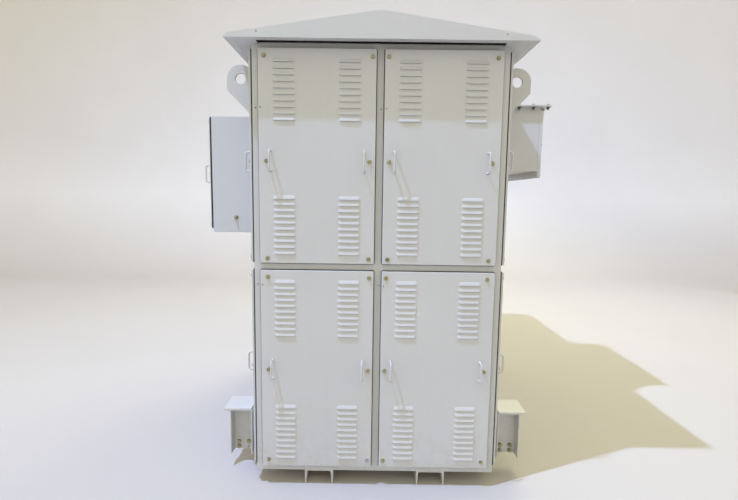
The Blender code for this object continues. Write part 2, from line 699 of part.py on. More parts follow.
# Cable box on the right side
def make_cable_box():
    wall_x = SIDE_COVER_FACE + FIT_GAP
    outer_x = CABLE_BOX_SIDE
    cover_x = outer_x + FIT_GAP + CABLE_COVER_PROUD
    front = -HALF_DEPTH + CABLE_BOX_FRONT
    rear = front + CABLE_BOX_WIDTH
    shell = box_mesh(
        "cable_box", (wall_x, front, CABLE_BOX_BOTTOM), (outer_x, rear, CABLE_BOX_TOP))
    flange_low = CABLE_BOX_TOP - CABLE_FLANGE_THICKNESS
    over = CABLE_FLANGE_OVERHANG
    flange = box_mesh(
        "flange", (wall_x, front - over, flange_low), (cover_x + over, rear + over, CABLE_BOX_TOP))
    pocket = box_mesh(
        "pocket", (wall_x + BOX_SHEET, front + BOX_SHEET, CABLE_BOX_BOTTOM + BOX_SHEET),
        (outer_x - BOX_SHEET, rear - BOX_SHEET, flange_low))
    mouth = box_mesh(
        "mouth", (outer_x - CUT_MARGIN, front + BOX_RIM, CABLE_BOX_BOTTOM + BOX_RIM),
        (outer_x + CUT_MARGIN, rear - BOX_RIM, flange_low - 2 * BOX_RIM))
    mesh = combined(
        "cable_box", shell, [("UNION", flange), ("DIFFERENCE", pocket), ("DIFFERENCE", mouth)])
    place_piece("cable_box", mesh)
    lid_low = CABLE_BOX_TOP + FIT_GAP
    lid = box_mesh(
        "cable_box_lid", (wall_x, front - over, lid_low),
        (cover_x + over, rear + over, lid_low + CABLE_LID_THICKNESS))
    place_piece("cable_box_lid", lid)
    cover = box_mesh(
        "cable_box_cover",
        (outer_x + FIT_GAP, front, CABLE_BOX_BOTTOM - CABLE_COVER_BELOW),
        (cover_x, rear, flange_low - CABLE_COVER_TOP_GAP))
    hollow = box_mesh(
        "hollow",
        (outer_x - CUT_MARGIN, front + BOX_RIM, CABLE_BOX_BOTTOM + BOX_RIM),
        (cover_x - COVER_SHEET, rear - BOX_RIM, flange_low - 2 * BOX_RIM))
    mesh = combined("cable_box_cover", cover, [("DIFFERENCE", hollow)])
    place_piece("cable_box_cover", mesh)


def centre_assembly():
    """Bring the middle of the whole outline over the origin."""
    bpy.context.view_layer.update()
    reaches = []
    for piece in PARTS.objects:
        if piece.type == "MESH":
            reaches += [(piece.matrix_world @ vertex.co).x for vertex in piece.data.vertices]
    ASSEMBLY.location.x = -(min(reaches) + max(reaches)) / 2


make_skids()
make_frames()
make_floor()
make_front_and_rear_covers()
make_side_covers()
make_roof()
make_lugs()
make_brackets()
make_bars()
make_terminal_box()
make_cable_box()
centre_assembly()
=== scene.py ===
"""Dressed scene of a dry-type power transformer in an outdoor sheet-steel enclosure.

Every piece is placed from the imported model's own boxes. Pressed louvres, bent rods,
bolts and weld beads grow in geometry node trees that this script builds, and each
result is kept as a plain mesh. The finishes are procedural and read object
coordinates. Lengths are in metres; +Z is up and the front faces -Y.
"""
from __future__ import annotations

import logging
import math
from dataclasses import dataclass, field
from enum import Enum
from typing import Any, ClassVar, Iterable, Mapping, Sequence

import bmesh
import bpy
from mathutils import Matrix, Vector


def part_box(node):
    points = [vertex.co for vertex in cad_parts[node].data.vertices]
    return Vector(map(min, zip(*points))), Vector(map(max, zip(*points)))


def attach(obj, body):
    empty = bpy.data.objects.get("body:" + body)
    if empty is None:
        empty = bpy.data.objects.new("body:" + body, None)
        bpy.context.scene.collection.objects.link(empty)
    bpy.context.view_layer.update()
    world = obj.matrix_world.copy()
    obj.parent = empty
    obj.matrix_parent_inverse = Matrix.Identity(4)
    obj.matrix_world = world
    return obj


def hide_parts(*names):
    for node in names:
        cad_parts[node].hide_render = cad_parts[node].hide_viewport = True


LOG = logging.getLogger("transformer_scene")

Colour = tuple[float, float, float]
Point2 = tuple[float, float]

BODY = "root"
CLEARANCE = 0.0003
WELD = 0.00005
MERGE = 0.00001

# Words that the solids' names are made of
STOREYS = ("lower", "upper")
HANDS = ("left", "right")
ENDS = ("front", "rear")

# Sheet, folds and rubber that every cover shares
SHEET = 0.002
COVER_PROUD = 0.020
FLANGE = 0.014
CORNER_RADIUS = 0.006
CORNER_STEPS = 4
LEAST_CORNER = 0.2
GASKET_OUTSET = 0.0035
GASKET_SQUEEZE = 0.0009
GASKET_ROUND = 0.2

# Distance of the bolts from the edges of both boxes' covers
BOX_BOLT_INSET = 0.022

# Angles in degrees past which an edge stays sharp
PAN_CREASE = 24.0
FIXING_CREASE = 28.0
FOLD_CREASE = 32.0
ROUND_CREASE = 40.0
BEAD_CREASE = 60.0

# Angle in degrees up to which faces of a solid are merged into one
FLAT = 0.3

# Radii of rounded edges
THIN_EDGE = 0.0009
PLATE_EDGE = 0.0012
ROLLED_EDGE = 0.0015
FOLDED_EDGE = 0.0022


class Facing(Enum):
    """Which way a wall faces, with the turn about Z that takes the front there."""

    FRONT = 0.0
    REAR = math.pi
    LEFT = -math.pi / 2
    RIGHT = math.pi / 2

    @property
    def matrix(self) -> Matrix:
        """Rotation from a front wall's own axes to this wall."""
        return Matrix.Rotation(self.value, 4, "Z")

    @property
    def outward(self) -> Vector:
        """Direction that points away from the wall."""
        return self.matrix @ Vector((0.0, -1.0, 0.0))


# Node trees


class Tree:
    """A node tree that is filled by short calls.

    Args:
        tree: The tree to fill; what it holds is cleared first.
    """

    def __init__(self, tree: bpy.types.NodeTree) -> None:
        """Take the tree over and clear it."""
        self.tree = tree
        tree.nodes.clear()

    def node(
        self, kind: str, inputs: Mapping[Any, Any] | None = None, **settings: Any
    ) -> bpy.types.Node:
        """Add a node.

        Args:
            kind: The node's type name.
            inputs: Values or output sockets, by input name or number.
            **settings: The node's own options.

        Returns:
            The new node.
        """
        made = self.tree.nodes.new(kind)
        for key, value in settings.items():
            setattr(made, key, value)
        for key, value in (inputs or {}).items():
            self.feed(made.inputs[key], value)
        return made

    def feed(self, socket: bpy.types.NodeSocket, value: Any) -> None:
        """Link an output socket to an input, or set the input's value."""
        if isinstance(value, bpy.types.NodeSocket):
            self.tree.links.new(value, socket)
        else:
            socket.default_value = value


class GeometryTree(Tree):
    """A geometry node tree with named inputs and one geometry output.

    Args:
        name: The tree's name.
        inputs: Socket types by input name, apart from the geometry itself.
    """

    def __init__(self, name: str, inputs: Mapping[str, str]) -> None:
        """Make the tree with its sockets."""
        super().__init__(bpy.data.node_groups.new(name, "GeometryNodeTree"))
        face = self.tree.interface
        face.new_socket(name="Geometry", in_out="INPUT", socket_type="NodeSocketGeometry")
        face.new_socket(name="Geometry", in_out="OUTPUT", socket_type="NodeSocketGeometry")
        self.identifiers = {
            label: face.new_socket(name=label, in_out="INPUT", socket_type=kind).identifier
            for label, kind in inputs.items()
        }
        self.entry = self.node("NodeGroupInput")
        self.exit = self.node("NodeGroupOutput")

    def given(self, name: str) -> bpy.types.NodeSocket:
        """Return the output socket of one named input."""
        return self.entry.outputs[name]

    def math(self, operation: str, *values: Any) -> bpy.types.NodeSocket:
        """Add a math node and return its result."""
        return self.node(
            "ShaderNodeMath", dict(enumerate(values)), operation=operation).outputs[0]

    def vector(self, x: Any, y: Any, z: Any) -> bpy.types.NodeSocket:
        """Combine three numbers into a vector."""
        return self.node("ShaderNodeCombineXYZ", {0: x, 1: y, 2: z}).outputs[0]

    def joined(self, *parts: bpy.types.NodeSocket) -> bpy.types.NodeSocket:
        """Join several geometries.

        Args:
            *parts: The geometries.

        Returns:
            The geometry that holds them all.
        """
        join = self.node("GeometryNodeJoinGeometry")
        for part in parts:
            self.tree.links.new(part, join.inputs[0])
        return join.outputs[0]

    def deliver(self, geometry: bpy.types.NodeSocket, material: str | None) -> None:
        """Realize the instances, set the material and end the tree.

        Args:
            geometry: What the tree has made.
            material: The name of the material input, or None to keep what is there.
        """
        result = self.node("GeometryNodeRealizeInstances", {0: geometry}).outputs[0]
        if material:
            result = self.node(
                "GeometryNodeSetMaterial",
                {"Geometry": result, "Material": self.given(material)}).outputs[0]
        self.feed(self.exit.inputs[0], result)


def evaluated(mesh: bpy.types.Mesh, *modifiers: Any) -> bpy.types.Mesh:
    """Run modifiers on a mesh and keep the result as a plain mesh.

    Args:
        mesh: The mesh to start from.
        *modifiers: Calls that each add one modifier to the object they are given.

    Returns:
        A new mesh with the modifiers applied.
    """
    holder = bpy.data.objects.new(mesh.name, mesh)
    bpy.context.scene.collection.objects.link(holder)
    for add in modifiers:
        add(holder)
    depsgraph = bpy.context.evaluated_depsgraph_get()
    result = bpy.data.meshes.new_from_object(
        holder.evaluated_get(depsgraph), preserve_all_data_layers=True, depsgraph=depsgraph)
    result.name = mesh.name
    bpy.data.objects.remove(holder, do_unlink=True)
    return result


def grow(tree: GeometryTree, values: Mapping[str, Any]) -> Any:
    """Prepare a geometry tree to be run by evaluated().

    Args:
        tree: The tree.
        values: The values of its inputs, by name.

    Returns:
        A call that adds the tree to an object as a modifier with those inputs.
    """

    def add(holder: bpy.types.Object) -> None:
        """Add the tree to the object."""
        made = holder.modifiers.new(tree.tree.name, "NODES")
        made.node_group = tree.tree
        for label, value in values.items():
            made[tree.identifiers[label]] = value

    return add


def modifier(kind: str, **settings: Any) -> Any:
    """Prepare one of Blender's own modifiers to be run by evaluated().

    Args:
        kind: The modifier's type name.
        **settings: Its options.

    Returns:
        A call that adds the modifier to an object.
    """

    def add(holder: bpy.types.Object) -> None:
        """Add the modifier to the object."""
        made = holder.modifiers.new(kind.lower(), kind)
        for key, value in settings.items():
            setattr(made, key, value)

    return add


def crisp(mesh: bpy.types.Mesh, angle: float = FOLD_CREASE) -> bpy.types.Mesh:
    """Shade smooth within forms, sharp between them, with flats kept flat.

    Args:
        mesh: The mesh to shade.
        angle: Edges sharper than this, in degrees, stay sharp.

    Returns:
        A new mesh with its normals weighted by area.
    """
    mesh.shade_smooth()
    mesh.set_sharp_from_angle(angle=math.radians(angle))
    return evaluated(
        mesh, modifier("WEIGHTED_NORMAL", mode="FACE_AREA", keep_sharp=True, weight=80))


# Finishes


class Shader(Tree):
    """A material's node tree, ending in one principled shader.

    Args:
        material: The material to fill.
    """

    def __init__(self, material: bpy.types.Material) -> None:
        """Add the shader, its output and the object coordinates."""
        super().__init__(material.node_tree)
        self.surface = self.node("ShaderNodeBsdfPrincipled")
        self.node("ShaderNodeOutputMaterial", {"Surface": self.surface.outputs[0]})
        self.coords = self.node("ShaderNodeTexCoord").outputs["Object"]

    def set(self, **values: Any) -> None:
        """Set the shader's inputs by name, with spaces written as underscores."""
        for key, value in values.items():
            self.feed(self.surface.inputs[key.replace("_", " ")], value)

    def noise(
        self, scale: float, detail: float = 2.0, roughness: float = 0.5,
        stretch: Colour = (1.0, 1.0, 1.0),
    ) -> bpy.types.NodeSocket:
        """Add noise that reads object coordinates.

        Args:
            scale: Its scale, per metre.
            detail: Its number of octaves.
            roughness: How strong the fine octaves are.
            stretch: Factors on its three axes.

        Returns:
            The noise, from 0 to 1.
        """
        coords = self.coords
        if stretch != (1.0, 1.0, 1.0):
            coords = self.node(
                "ShaderNodeMapping", {"Vector": coords, "Scale": stretch}).outputs[0]
        return self.node(
            "ShaderNodeTexNoise",
            {"Vector": coords, "Scale": scale, "Detail": detail, "Roughness": roughness},
        ).outputs[0]

    def remap(
        self, value: Any, low: float, high: float, to_low: float = 0.0, to_high: float = 1.0
    ) -> bpy.types.NodeSocket:
        """Map a range of a value to another range, clamped."""
        return self.node(
            "ShaderNodeMapRange",
            {"Value": value, "From Min": low, "From Max": high,
             "To Min": to_low, "To Max": to_high}).outputs[0]

    def times(self, first: Any, second: Any) -> bpy.types.NodeSocket:
        """Multiply two numbers."""
        return self.node(
            "ShaderNodeMath", {0: first, 1: second}, operation="MULTIPLY").outputs[0]

    def mix(self, share: Any, first: Any, second: Any, blend: str = "MIX") -> Any:
        """Mix two colours.

        Args:
            share: The share of the second colour.
            first: The first colour, a value or a socket.
            second: The second colour, a value or a socket.
            blend: How the second one is laid over the first.

        Returns:
            The mixed colour's socket.
        """
        pair = {
            6: (*first, 1.0) if isinstance(first, tuple) else first,
            7: (*second, 1.0) if isinstance(second, tuple) else second,
        }
        return self.node(
            "ShaderNodeMix", {0: share, **pair}, data_type="RGBA", blend_type=blend).outputs[2]

    def bump(self, height: Any, strength: float, distance: float, under: Any = None) -> Any:
        """Bump the surface.

        Args:
            height: The height's socket.
            strength: How strong the bump is.
            distance: How high it stands, in metres.
            under: A bumped normal that it lies on, or None.

        Returns:
            The bumped normal's socket.
        """
        inputs = {"Height": height, "Strength": strength, "Distance": distance}
        if under is not None:
            inputs["Normal"] = under
        return self.node("ShaderNodeBump", inputs).outputs[0]


@dataclass(frozen=True)
class Finish:
    """A surface finish.

    Attributes:
        name: The material's name.
        slot: The record's material slot for pieces in it, or empty off the object; not used.
        colour: Its base colour, linear.
        roughness: Its mean roughness.
    """

    name: str
    slot: str
    colour: Colour
    roughness: float

    def material(self) -> bpy.types.Material:
        """Build the finish.

        Returns:
            A new material.
        """
        made = bpy.data.materials.new(self.name)
        made.use_nodes = True
        self.dress(Shader(made))
        return made

    def dress(self, shader: Shader) -> None:
        """Wire the finish into a shader."""
        raise NotImplementedError


@dataclass(frozen=True)
class Paint(Finish):
    """Satin sprayed paint that has stood outdoors.

    Attributes:
        dust: How much dust lies on what faces up.
        splash: How much the rain has splashed up near the ground.
        ripple: How far the sheet under it is out of flat.
        settled: The least that the dust covers of what faces up.
        dust_colour: The dust's colour.
        splash_colour: The splashed dirt's colour.
    """

    dust: float = 0.55
    splash: float = 0.45
    ripple: float = 0.12
    settled: float = 0.0
    dust_colour: Colour = (0.52, 0.49, 0.42)
    splash_colour: Colour = (0.36, 0.32, 0.26)

    def dress(self, shader: Shader) -> None:
        """Wire base colour, weathering, gloss variation and orange peel.

        Args:
            shader: The shader to wire it into.
        """
        cloud = shader.remap(shader.noise(1.7, 3.0), 0.3, 0.7, 0.955, 1.0)
        streak = shader.remap(
            shader.noise(22.0, 4.0, 0.6, (1.0, 1.0, 0.045)), 0.35, 0.75, 1.0, 0.985)
        speck = shader.remap(shader.noise(140.0, 2.0), 0.62, 0.75, 1.0, 0.95)
        tone = shader.times(shader.times(cloud, streak), speck)
        grey = shader.node("ShaderNodeCombineColor", {0: tone, 1: tone, 2: tone}).outputs[0]
        colour = shader.mix(1.0, self.colour, grey, "MULTIPLY")

        normal = shader.node("ShaderNodeNewGeometry").outputs["Normal"]
        upward = shader.node("ShaderNodeSeparateXYZ", {0: normal}).outputs[2]
        lying = shader.times(
            shader.remap(upward, 0.55, 0.95),
            shader.remap(shader.noise(9.0, 6.0), 0.3, 0.7, self.settled, 1.0))
        colour = shader.mix(shader.times(lying, self.dust), colour, self.dust_colour)

        height = shader.node("ShaderNodeSeparateXYZ", {0: shader.coords}).outputs[2]
        low = shader.times(
            shader.remap(height, 0.42, 0.02),
            shader.remap(shader.noise(26.0, 8.0, 0.7), 0.42, 0.78))
        colour = shader.mix(shader.times(low, self.splash), colour, self.splash_colour)

        gloss = shader.remap(
            shader.noise(6.0, 5.0), 0.3, 0.7, self.roughness - 0.05, self.roughness + 0.08)
        wave = shader.bump(shader.noise(1.9, 1.0), self.ripple, 0.012)
        peel = shader.bump(shader.noise(520.0, 2.0), 0.10, 0.0006, wave)
        shader.set(Base_Color=colour, Roughness=gloss, Normal=peel)
        shader.set(Coat_Weight=0.10, Coat_Roughness=0.25, IOR=1.5)


@dataclass(frozen=True)
class Rubber(Finish):
    """Matt black rubber with a little bloom and dust.

    Attributes:
        bloom: The colour of its pale patches.
    """

    bloom: Colour = (0.034, 0.033, 0.031)

    def dress(self, shader: Shader) -> None:
        """Wire bloom, gloss variation and a fine grain.

        Args:
            shader: The shader to wire it into.
        """
        patch = shader.remap(shader.noise(45.0, 5.0), 0.45, 0.75)
        gloss = shader.remap(shader.noise(80.0, 3.0), 0.3, 0.7, 0.55, 0.75)
        grain = shader.bump(shader.noise(900.0, 2.0), 0.2, 0.0004)
        shader.set(
            Base_Color=shader.mix(patch, self.colour, self.bloom), Roughness=gloss,
            Normal=grain)


@dataclass(frozen=True)
class Plating(Finish):
    """Plated fasteners, tarnished in patches and some more than others.

    Attributes:
        tarnish: The colour of the dull patches.
        spread: How much the fixings differ from one another.
    """

    tarnish: Colour = (0.17, 0.155, 0.105)
    spread: float = 0.65

    def dress(self, shader: Shader) -> None:
        """Wire tarnish, gloss variation and fine turning marks.

        Args:
            shader: The shader to wire it into.
        """
        patch = shader.remap(shader.noise(160.0, 6.0, 0.65), 0.42, 0.72)
        each = shader.remap(shader.noise(4.3, 1.0), 0.35, 0.65, 0.0, self.spread)
        patch = shader.node("ShaderNodeMath", {0: patch, 1: each}, operation="MAXIMUM").outputs[0]
        gloss = shader.remap(
            shader.noise(240.0, 4.0), 0.3, 0.7, self.roughness - 0.08, self.roughness + 0.15)
        grain = shader.bump(shader.noise(1400.0, 2.0), 0.15, 0.0003)
        shader.set(
            Base_Color=shader.mix(patch, self.colour, self.tarnish), Roughness=gloss,
            Normal=grain, Metallic=0.9)


@dataclass(frozen=True)
class Screed(Finish):
    """Plain pale studio floor with a very faint cloudiness, paler where it is a backdrop.

    Attributes:
        backdrop: Its colour where it stands behind the object.
        rise: How high it has turned into the backdrop.
    """

    backdrop: Colour = (0.60, 0.57, 0.55)
    rise: float = 1.5

    def dress(self, shader: Shader) -> None:
        """Wire the turn to the backdrop and the faint clouding.

        Args:
            shader: The shader to wire it into.
        """
        height = shader.node("ShaderNodeSeparateXYZ", {0: shader.coords}).outputs[2]
        colour = shader.mix(shader.remap(height, 0.0, self.rise), self.colour, self.backdrop)
        cloud = shader.remap(shader.noise(0.8, 4.0), 0.3, 0.7, 0.97, 1.0)
        grey = shader.node("ShaderNodeCombineColor", {0: cloud, 1: cloud, 2: cloud}).outputs[0]
        shader.set(
            Base_Color=shader.mix(1.0, colour, grey, "MULTIPLY"), Roughness=self.roughness)


COVER_PAINT = Paint("cover_paint", "sheet_steel", (0.555, 0.560, 0.590), 0.40)
CANOPY_PAINT = Paint(
    "canopy_paint", "sheet_steel", (0.555, 0.560, 0.590), 0.40, dust=0.7, settled=0.5,
    dust_colour=(0.40, 0.385, 0.34))
FRAME_PAINT = Paint("frame_paint", "frame_steel", (0.540, 0.545, 0.570), 0.43, ripple=0.08)
STEEL_PAINT = Paint(
    "steel_paint", "structural_steel", (0.560, 0.560, 0.565), 0.45, dust=0.7, ripple=0.06)
GASKET_RUBBER = Rubber("gasket_rubber", "gasket_rubber", (0.013, 0.013, 0.014), 0.65)
YELLOW_PLATE = Plating("yellow_plate", "plated_fasteners", (0.56, 0.50, 0.27), 0.38)
BRIGHT_PLATE = Plating(
    "bright_plate", "plated_fasteners", (0.62, 0.62, 0.60), 0.32, (0.25, 0.24, 0.22))
BROWN_PLATE = Plating(
    "brown_plate", "plated_fasteners", (0.30, 0.21, 0.12), 0.48, (0.12, 0.07, 0.04))
BOND_METAL = Plating(
    "bond_metal", "plated_fasteners", (0.30, 0.34, 0.38), 0.42, (0.10, 0.11, 0.12))
FLOOR_FINISH = Screed("studio_floor", "", (0.47, 0.435, 0.40), 0.75)


# Mesh helpers


def mesh_of(name: str, bm: bmesh.types.BMesh, outward: bool = False) -> bpy.types.Mesh:
    """Turn a bmesh into a mesh and free it.

    Args:
        name: The mesh's name.
        bm: The bmesh.
        outward: Whether its faces are first turned outwards.

    Returns:
        The mesh.
    """
    if outward:
        bmesh.ops.recalc_face_normals(bm, faces=bm.faces)
    mesh = bpy.data.meshes.new(name)
    bm.to_mesh(mesh)
    bm.free()
    return mesh


def paths_mesh(name: str, paths: Iterable[Sequence[Vector]]) -> bpy.types.Mesh:
    """Make loose edges, one chain for each path.

    Args:
        name: The mesh's name.
        paths: The paths' points.

    Returns:
        The mesh.
    """
    verts: list[Vector] = []
    edges: list[tuple[int, int]] = []
    for path in paths:
        start = len(verts)
        verts.extend(path)
        edges.extend((start + i, start + i + 1) for i in range(len(path) - 1))
    mesh = bpy.data.meshes.new(name)
    mesh.from_pydata([tuple(v) for v in verts], edges, [])
    return mesh


def rounded_outline(
    width: float, height: float, inset: float, radius: float, breaks: Sequence[float] = ()
) -> list[Point2]:
    """Rounded rectangle, standing on z=0 before its inset, from its top left corner.

    Args:
        width: Full width before the inset.
        height: Full height before the inset.
        inset: How far every side moves inwards; outwards if negative.
        radius: Corner radius before the inset.
        breaks: Places along x where the straight top and bottom get a point.

    Returns:
        Points (x, z), anticlockwise seen from the front.
    """
    bend = max(radius - inset, radius * LEAST_CORNER)
    right, low, high = width / 2 - inset, inset, height - inset
    corners = (
        ((-right + bend, high - bend), 90.0),
        ((-right + bend, low + bend), 180.0),
        ((right - bend, low + bend), 270.0),
        ((right - bend, high - bend), 0.0),
    )
    points: list[Point2] = []
    for index, ((cx, cz), start) in enumerate(corners):
        for step in range(CORNER_STEPS + 1):
            angle = math.radians(start + 90.0 * step / CORNER_STEPS)
            points.append((cx + bend * math.cos(angle), cz + bend * math.sin(angle)))
        if index == 1:
            points += [(x, low) for x in breaks]
    return points + [(x, high) for x in reversed(breaks)]


def bridge(bm: bmesh.types.BMesh, first: Sequence[Any], second: Sequence[Any]) -> None:
    """Fill the band between two closed rings of as many points."""
    for i, j in zip(range(len(first)), [*range(1, len(first)), 0]):
        bm.faces.new((first[i], first[j], second[j], second[i]))


def ring(bm: bmesh.types.BMesh, outline: Sequence[Point2], y: float) -> list[Any]:
    """Vertices of an outline at one depth."""
    return [bm.verts.new((x, y, z)) for x, z in outline]


def softened(
    node: str, bevel: float = THIN_EDGE, angle: float = 30.0, drills: Sequence[Any] = ()
) -> bpy.types.Mesh:
    """Copy of a solid with merged corners and small rounded edges.

    Args:
        node: The solid's name.
        bevel: Radius of the edges.
        angle: Edges sharper than this, in degrees, are rounded.
        drills: Meshes that are cut out of the copy first.

    Returns:
        The copy's mesh.
    """
    bm = bmesh.new()
    bm.from_mesh(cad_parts[node].data)
    bmesh.ops.remove_doubles(bm, verts=bm.verts, dist=MERGE)
    bmesh.ops.dissolve_limit(
        bm, angle_limit=math.radians(FLAT), verts=bm.verts, edges=bm.edges)
    mesh = mesh_of(node, bm)
    tools = [bpy.data.objects.new(f"{node}_drill", shape) for shape in drills]
    for tool in tools:
        bpy.context.scene.collection.objects.link(tool)
    cuts = [
        modifier("BOOLEAN", object=tool, operation="DIFFERENCE", solver="EXACT")
        for tool in tools
    ]
    mesh = evaluated(
        mesh, *cuts,
        modifier(
            "BEVEL", width=bevel, segments=2, limit_method="ANGLE",
            angle_limit=math.radians(angle), use_clamp_overlap=True, harden_normals=False))
    for tool in tools:
        bpy.data.objects.remove(tool, do_unlink=True)
    return crisp(mesh, ROUND_CREASE)


# Pressed louvres and pans


@dataclass(frozen=True)
class Louvres:
    """Banks of pressed louvres, two columns in two groups, mouths down.

    Attributes:
        length: Length of one louvre.
        rise: Height of its hood.
        mouth: Plain strip under its mouth.
        depth: How far the hood stands out.
        pitch: Distance from one louvre to the next.
        count: Louvres in one bank.
        end: Length of the rounded part at each end.
        bulge: How far the hood swells past a flat wedge, as a share of its depth.
        end_steps: Facets along each rounded end.
        rise_steps: Facets up the hood.
        spacing: Distance between the two columns.
        low: Rise of the lower banks above the cover's bottom edge.
        high: Drop of the upper banks' base below the cover's top edge.
    """

    length: float = 0.113
    rise: float = 0.0178
    mouth: float = 0.002
    depth: float = 0.0065
    pitch: float = 0.0305
    count: int = 10
    end: float = 0.013
    bulge: float = 0.45
    end_steps: int = 6
    rise_steps: int = 6
    spacing: float = 0.321
    low: float = 0.045
    high: float = 0.3425

    @property
    def columns(self) -> int:
        """Points across one bank."""
        return 2 * self.end_steps + 2

    @property
    def cell_rows(self) -> int:
        """Rows of points that one louvre uses."""
        return self.rise_steps + 3

    def across(self) -> list[float]:
        """Lay out the points across a bank.

        Returns:
            Their places along x.
        """
        half = self.length / 2
        bend = [
            half - self.end * (1 - math.cos(math.pi / 2 * step / self.end_steps))
            for step in range(self.end_steps + 1)
        ]
        return [-x for x in bend] + bend[::-1]

    def levels(self) -> list[float]:
        """Lay out the points up a bank's edge.

        Returns:
            Their places along z.
        """
        own = [0.0, self.mouth]
        own += [
            self.mouth + self.rise * (step / self.rise_steps)
            for step in range(1, self.rise_steps + 1)
        ]
        rows = [n * self.pitch + level for n in range(self.count) for level in own]
        return rows + [self.count * self.pitch]

    def bases(self, height: float) -> tuple[float, float]:
        """Rises of the lower and upper banks on a cover of this height."""
        return self.low, height - self.high

    def tree(self) -> GeometryTree:
        """Make the tree that sets four banks into a pan's open windows and welds them in.

        Returns:
            The tree.
        """
        lengths = ("Length", "Rise", "Mouth", "Depth", "Pitch", "End", "Bulge", "Spacing",
                   "Low base", "High base", "Face")
        t = GeometryTree(
            "pressed_louvres",
            {**dict.fromkeys(lengths, "NodeSocketFloat"), "Paint": "NodeSocketMaterial"})
        columns, rows = self.columns, self.count * self.cell_rows + 1
        grid = t.node(
            "GeometryNodeMeshGrid",
            {"Size X": columns - 1.0, "Size Y": rows - 1.0,
             "Vertices X": columns, "Vertices Y": rows}).outputs[0]
        position = t.node("GeometryNodeInputPosition").outputs[0]
        place = t.node("ShaderNodeSeparateXYZ", {0: position})
        column = t.math("ROUND", t.math("ADD", place.outputs[0], (columns - 1) / 2))
        row = t.math("ROUND", t.math("ADD", place.outputs[1], (rows - 1) / 2))

        near_end = t.math("MINIMUM", column, t.math("SUBTRACT", columns - 1.0, column))
        turn = t.math("MULTIPLY", near_end, math.pi / 2 / self.end_steps)
        aside = t.math("COSINE", turn)
        inset = t.math("MULTIPLY", t.given("End"), t.math("SUBTRACT", 1.0, aside))
        reach = t.math("SUBTRACT", t.math("MULTIPLY", t.given("Length"), 0.5), inset)
        hand = t.math("SIGN", place.outputs[0])
        x = t.math("MULTIPLY", reach, hand)

        number, step = self._cell(t, row)
        started = t.math("GREATER_THAN", step, 0.5)
        on_hood = t.math("GREATER_THAN", step, 1.5)
        share = t.math(
            "DIVIDE", t.math("MAXIMUM", t.math("SUBTRACT", step, 2.0), 0.0),
            float(self.rise_steps))
        z = t.math("MULTIPLY", number, t.given("Pitch"))
        z = t.math("ADD", z, t.math("MULTIPLY", t.given("Mouth"), started))
        z = t.math("ADD", z, t.math("MULTIPLY", t.given("Rise"), share))

        square = t.math("ADD", t.math("POWER", aside, 2.0), t.math("POWER", share, 2.0))
        away = t.math("MINIMUM", t.math("SQRT", square), 1.0)
        swell = t.math("ADD", 1.0, t.math("MULTIPLY", t.given("Bulge"), away))
        fall = t.math(
            "MULTIPLY", t.math("SUBTRACT", 1.0, away), t.math("MULTIPLY", swell, on_hood))
        y = t.math("MULTIPLY", t.math("MULTIPLY", t.given("Depth"), fall), -1.0)

        marked = t.node(
            "GeometryNodeStoreNamedAttribute",
            {"Geometry": grid, "Name": "mouth", "Value": self._face_is_mouth(t, rows)},
            data_type="FLOAT", domain="FACE").outputs[0]
        shaped = t.node(
            "GeometryNodeSetPosition",
            {"Geometry": marked, "Position": t.vector(x, y, z)}).outputs[0]
        mouth = t.node(
            "GeometryNodeInputNamedAttribute", {"Name": "mouth"}, data_type="FLOAT")
        chosen = t.math("GREATER_THAN", mouth.outputs[0], 0.5)
        bank = t.node(
            "GeometryNodeDeleteGeometry", {"Geometry": shaped, "Selection": chosen},
            domain="FACE").outputs[0]

        lift = t.math("SUBTRACT", t.given("High base"), t.given("Low base"))
        seats = t.node(
            "GeometryNodeMeshGrid",
            {"Size X": t.given("Spacing"), "Size Y": lift, "Vertices X": 2, "Vertices Y": 2})
        centre = t.math("ADD", t.given("Low base"), t.math("MULTIPLY", lift, 0.5))
        stood = t.node(
            "GeometryNodeTransform",
            {"Geometry": seats.outputs[0],
             "Translation": t.vector(0.0, t.given("Face"), centre),
             "Rotation": (math.pi / 2, 0.0, 0.0)}).outputs[0]
        banks = t.node(
            "GeometryNodeInstanceOnPoints", {"Points": stood, "Instance": bank}).outputs[0]
        whole = t.joined(
            t.given("Geometry"), t.node("GeometryNodeRealizeInstances", {0: banks}).outputs[0])
        welded = t.node(
            "GeometryNodeMergeByDistance", {"Geometry": whole, "Distance": WELD}).outputs[0]
        t.deliver(welded, "Paint")
        return t

    def _cell(
        self, t: GeometryTree, row: bpy.types.NodeSocket
    ) -> tuple[bpy.types.NodeSocket, bpy.types.NodeSocket]:
        """Split a row's number.

        Args:
            t: The tree.
            row: The row, counted from the bank's bottom.

        Returns:
            The number of the louvre that it is in, and its step up that louvre.
        """
        rows = float(self.cell_rows)
        number = t.math("FLOOR", t.math("DIVIDE", t.math("ADD", row, 0.5), rows))
        return number, t.math("SUBTRACT", row, t.math("MULTIPLY", number, rows))

    def _face_is_mouth(self, t: GeometryTree, rows: int) -> bpy.types.NodeSocket:
        """Mark the louvres' open mouths.

        Args:
            t: The tree.
            rows: The grid's rows of points.

        Returns:
            A field on faces that is one where the face is a mouth.
        """
        position = t.node("GeometryNodeInputPosition").outputs[0]
        place = t.node("ShaderNodeSeparateXYZ", {0: position})
        row = t.math("FLOOR", t.math("ADD", place.outputs[1], (rows - 1) / 2))
        _, step = self._cell(t, row)
        return t.math("COMPARE", step, 1.0, 0.4)


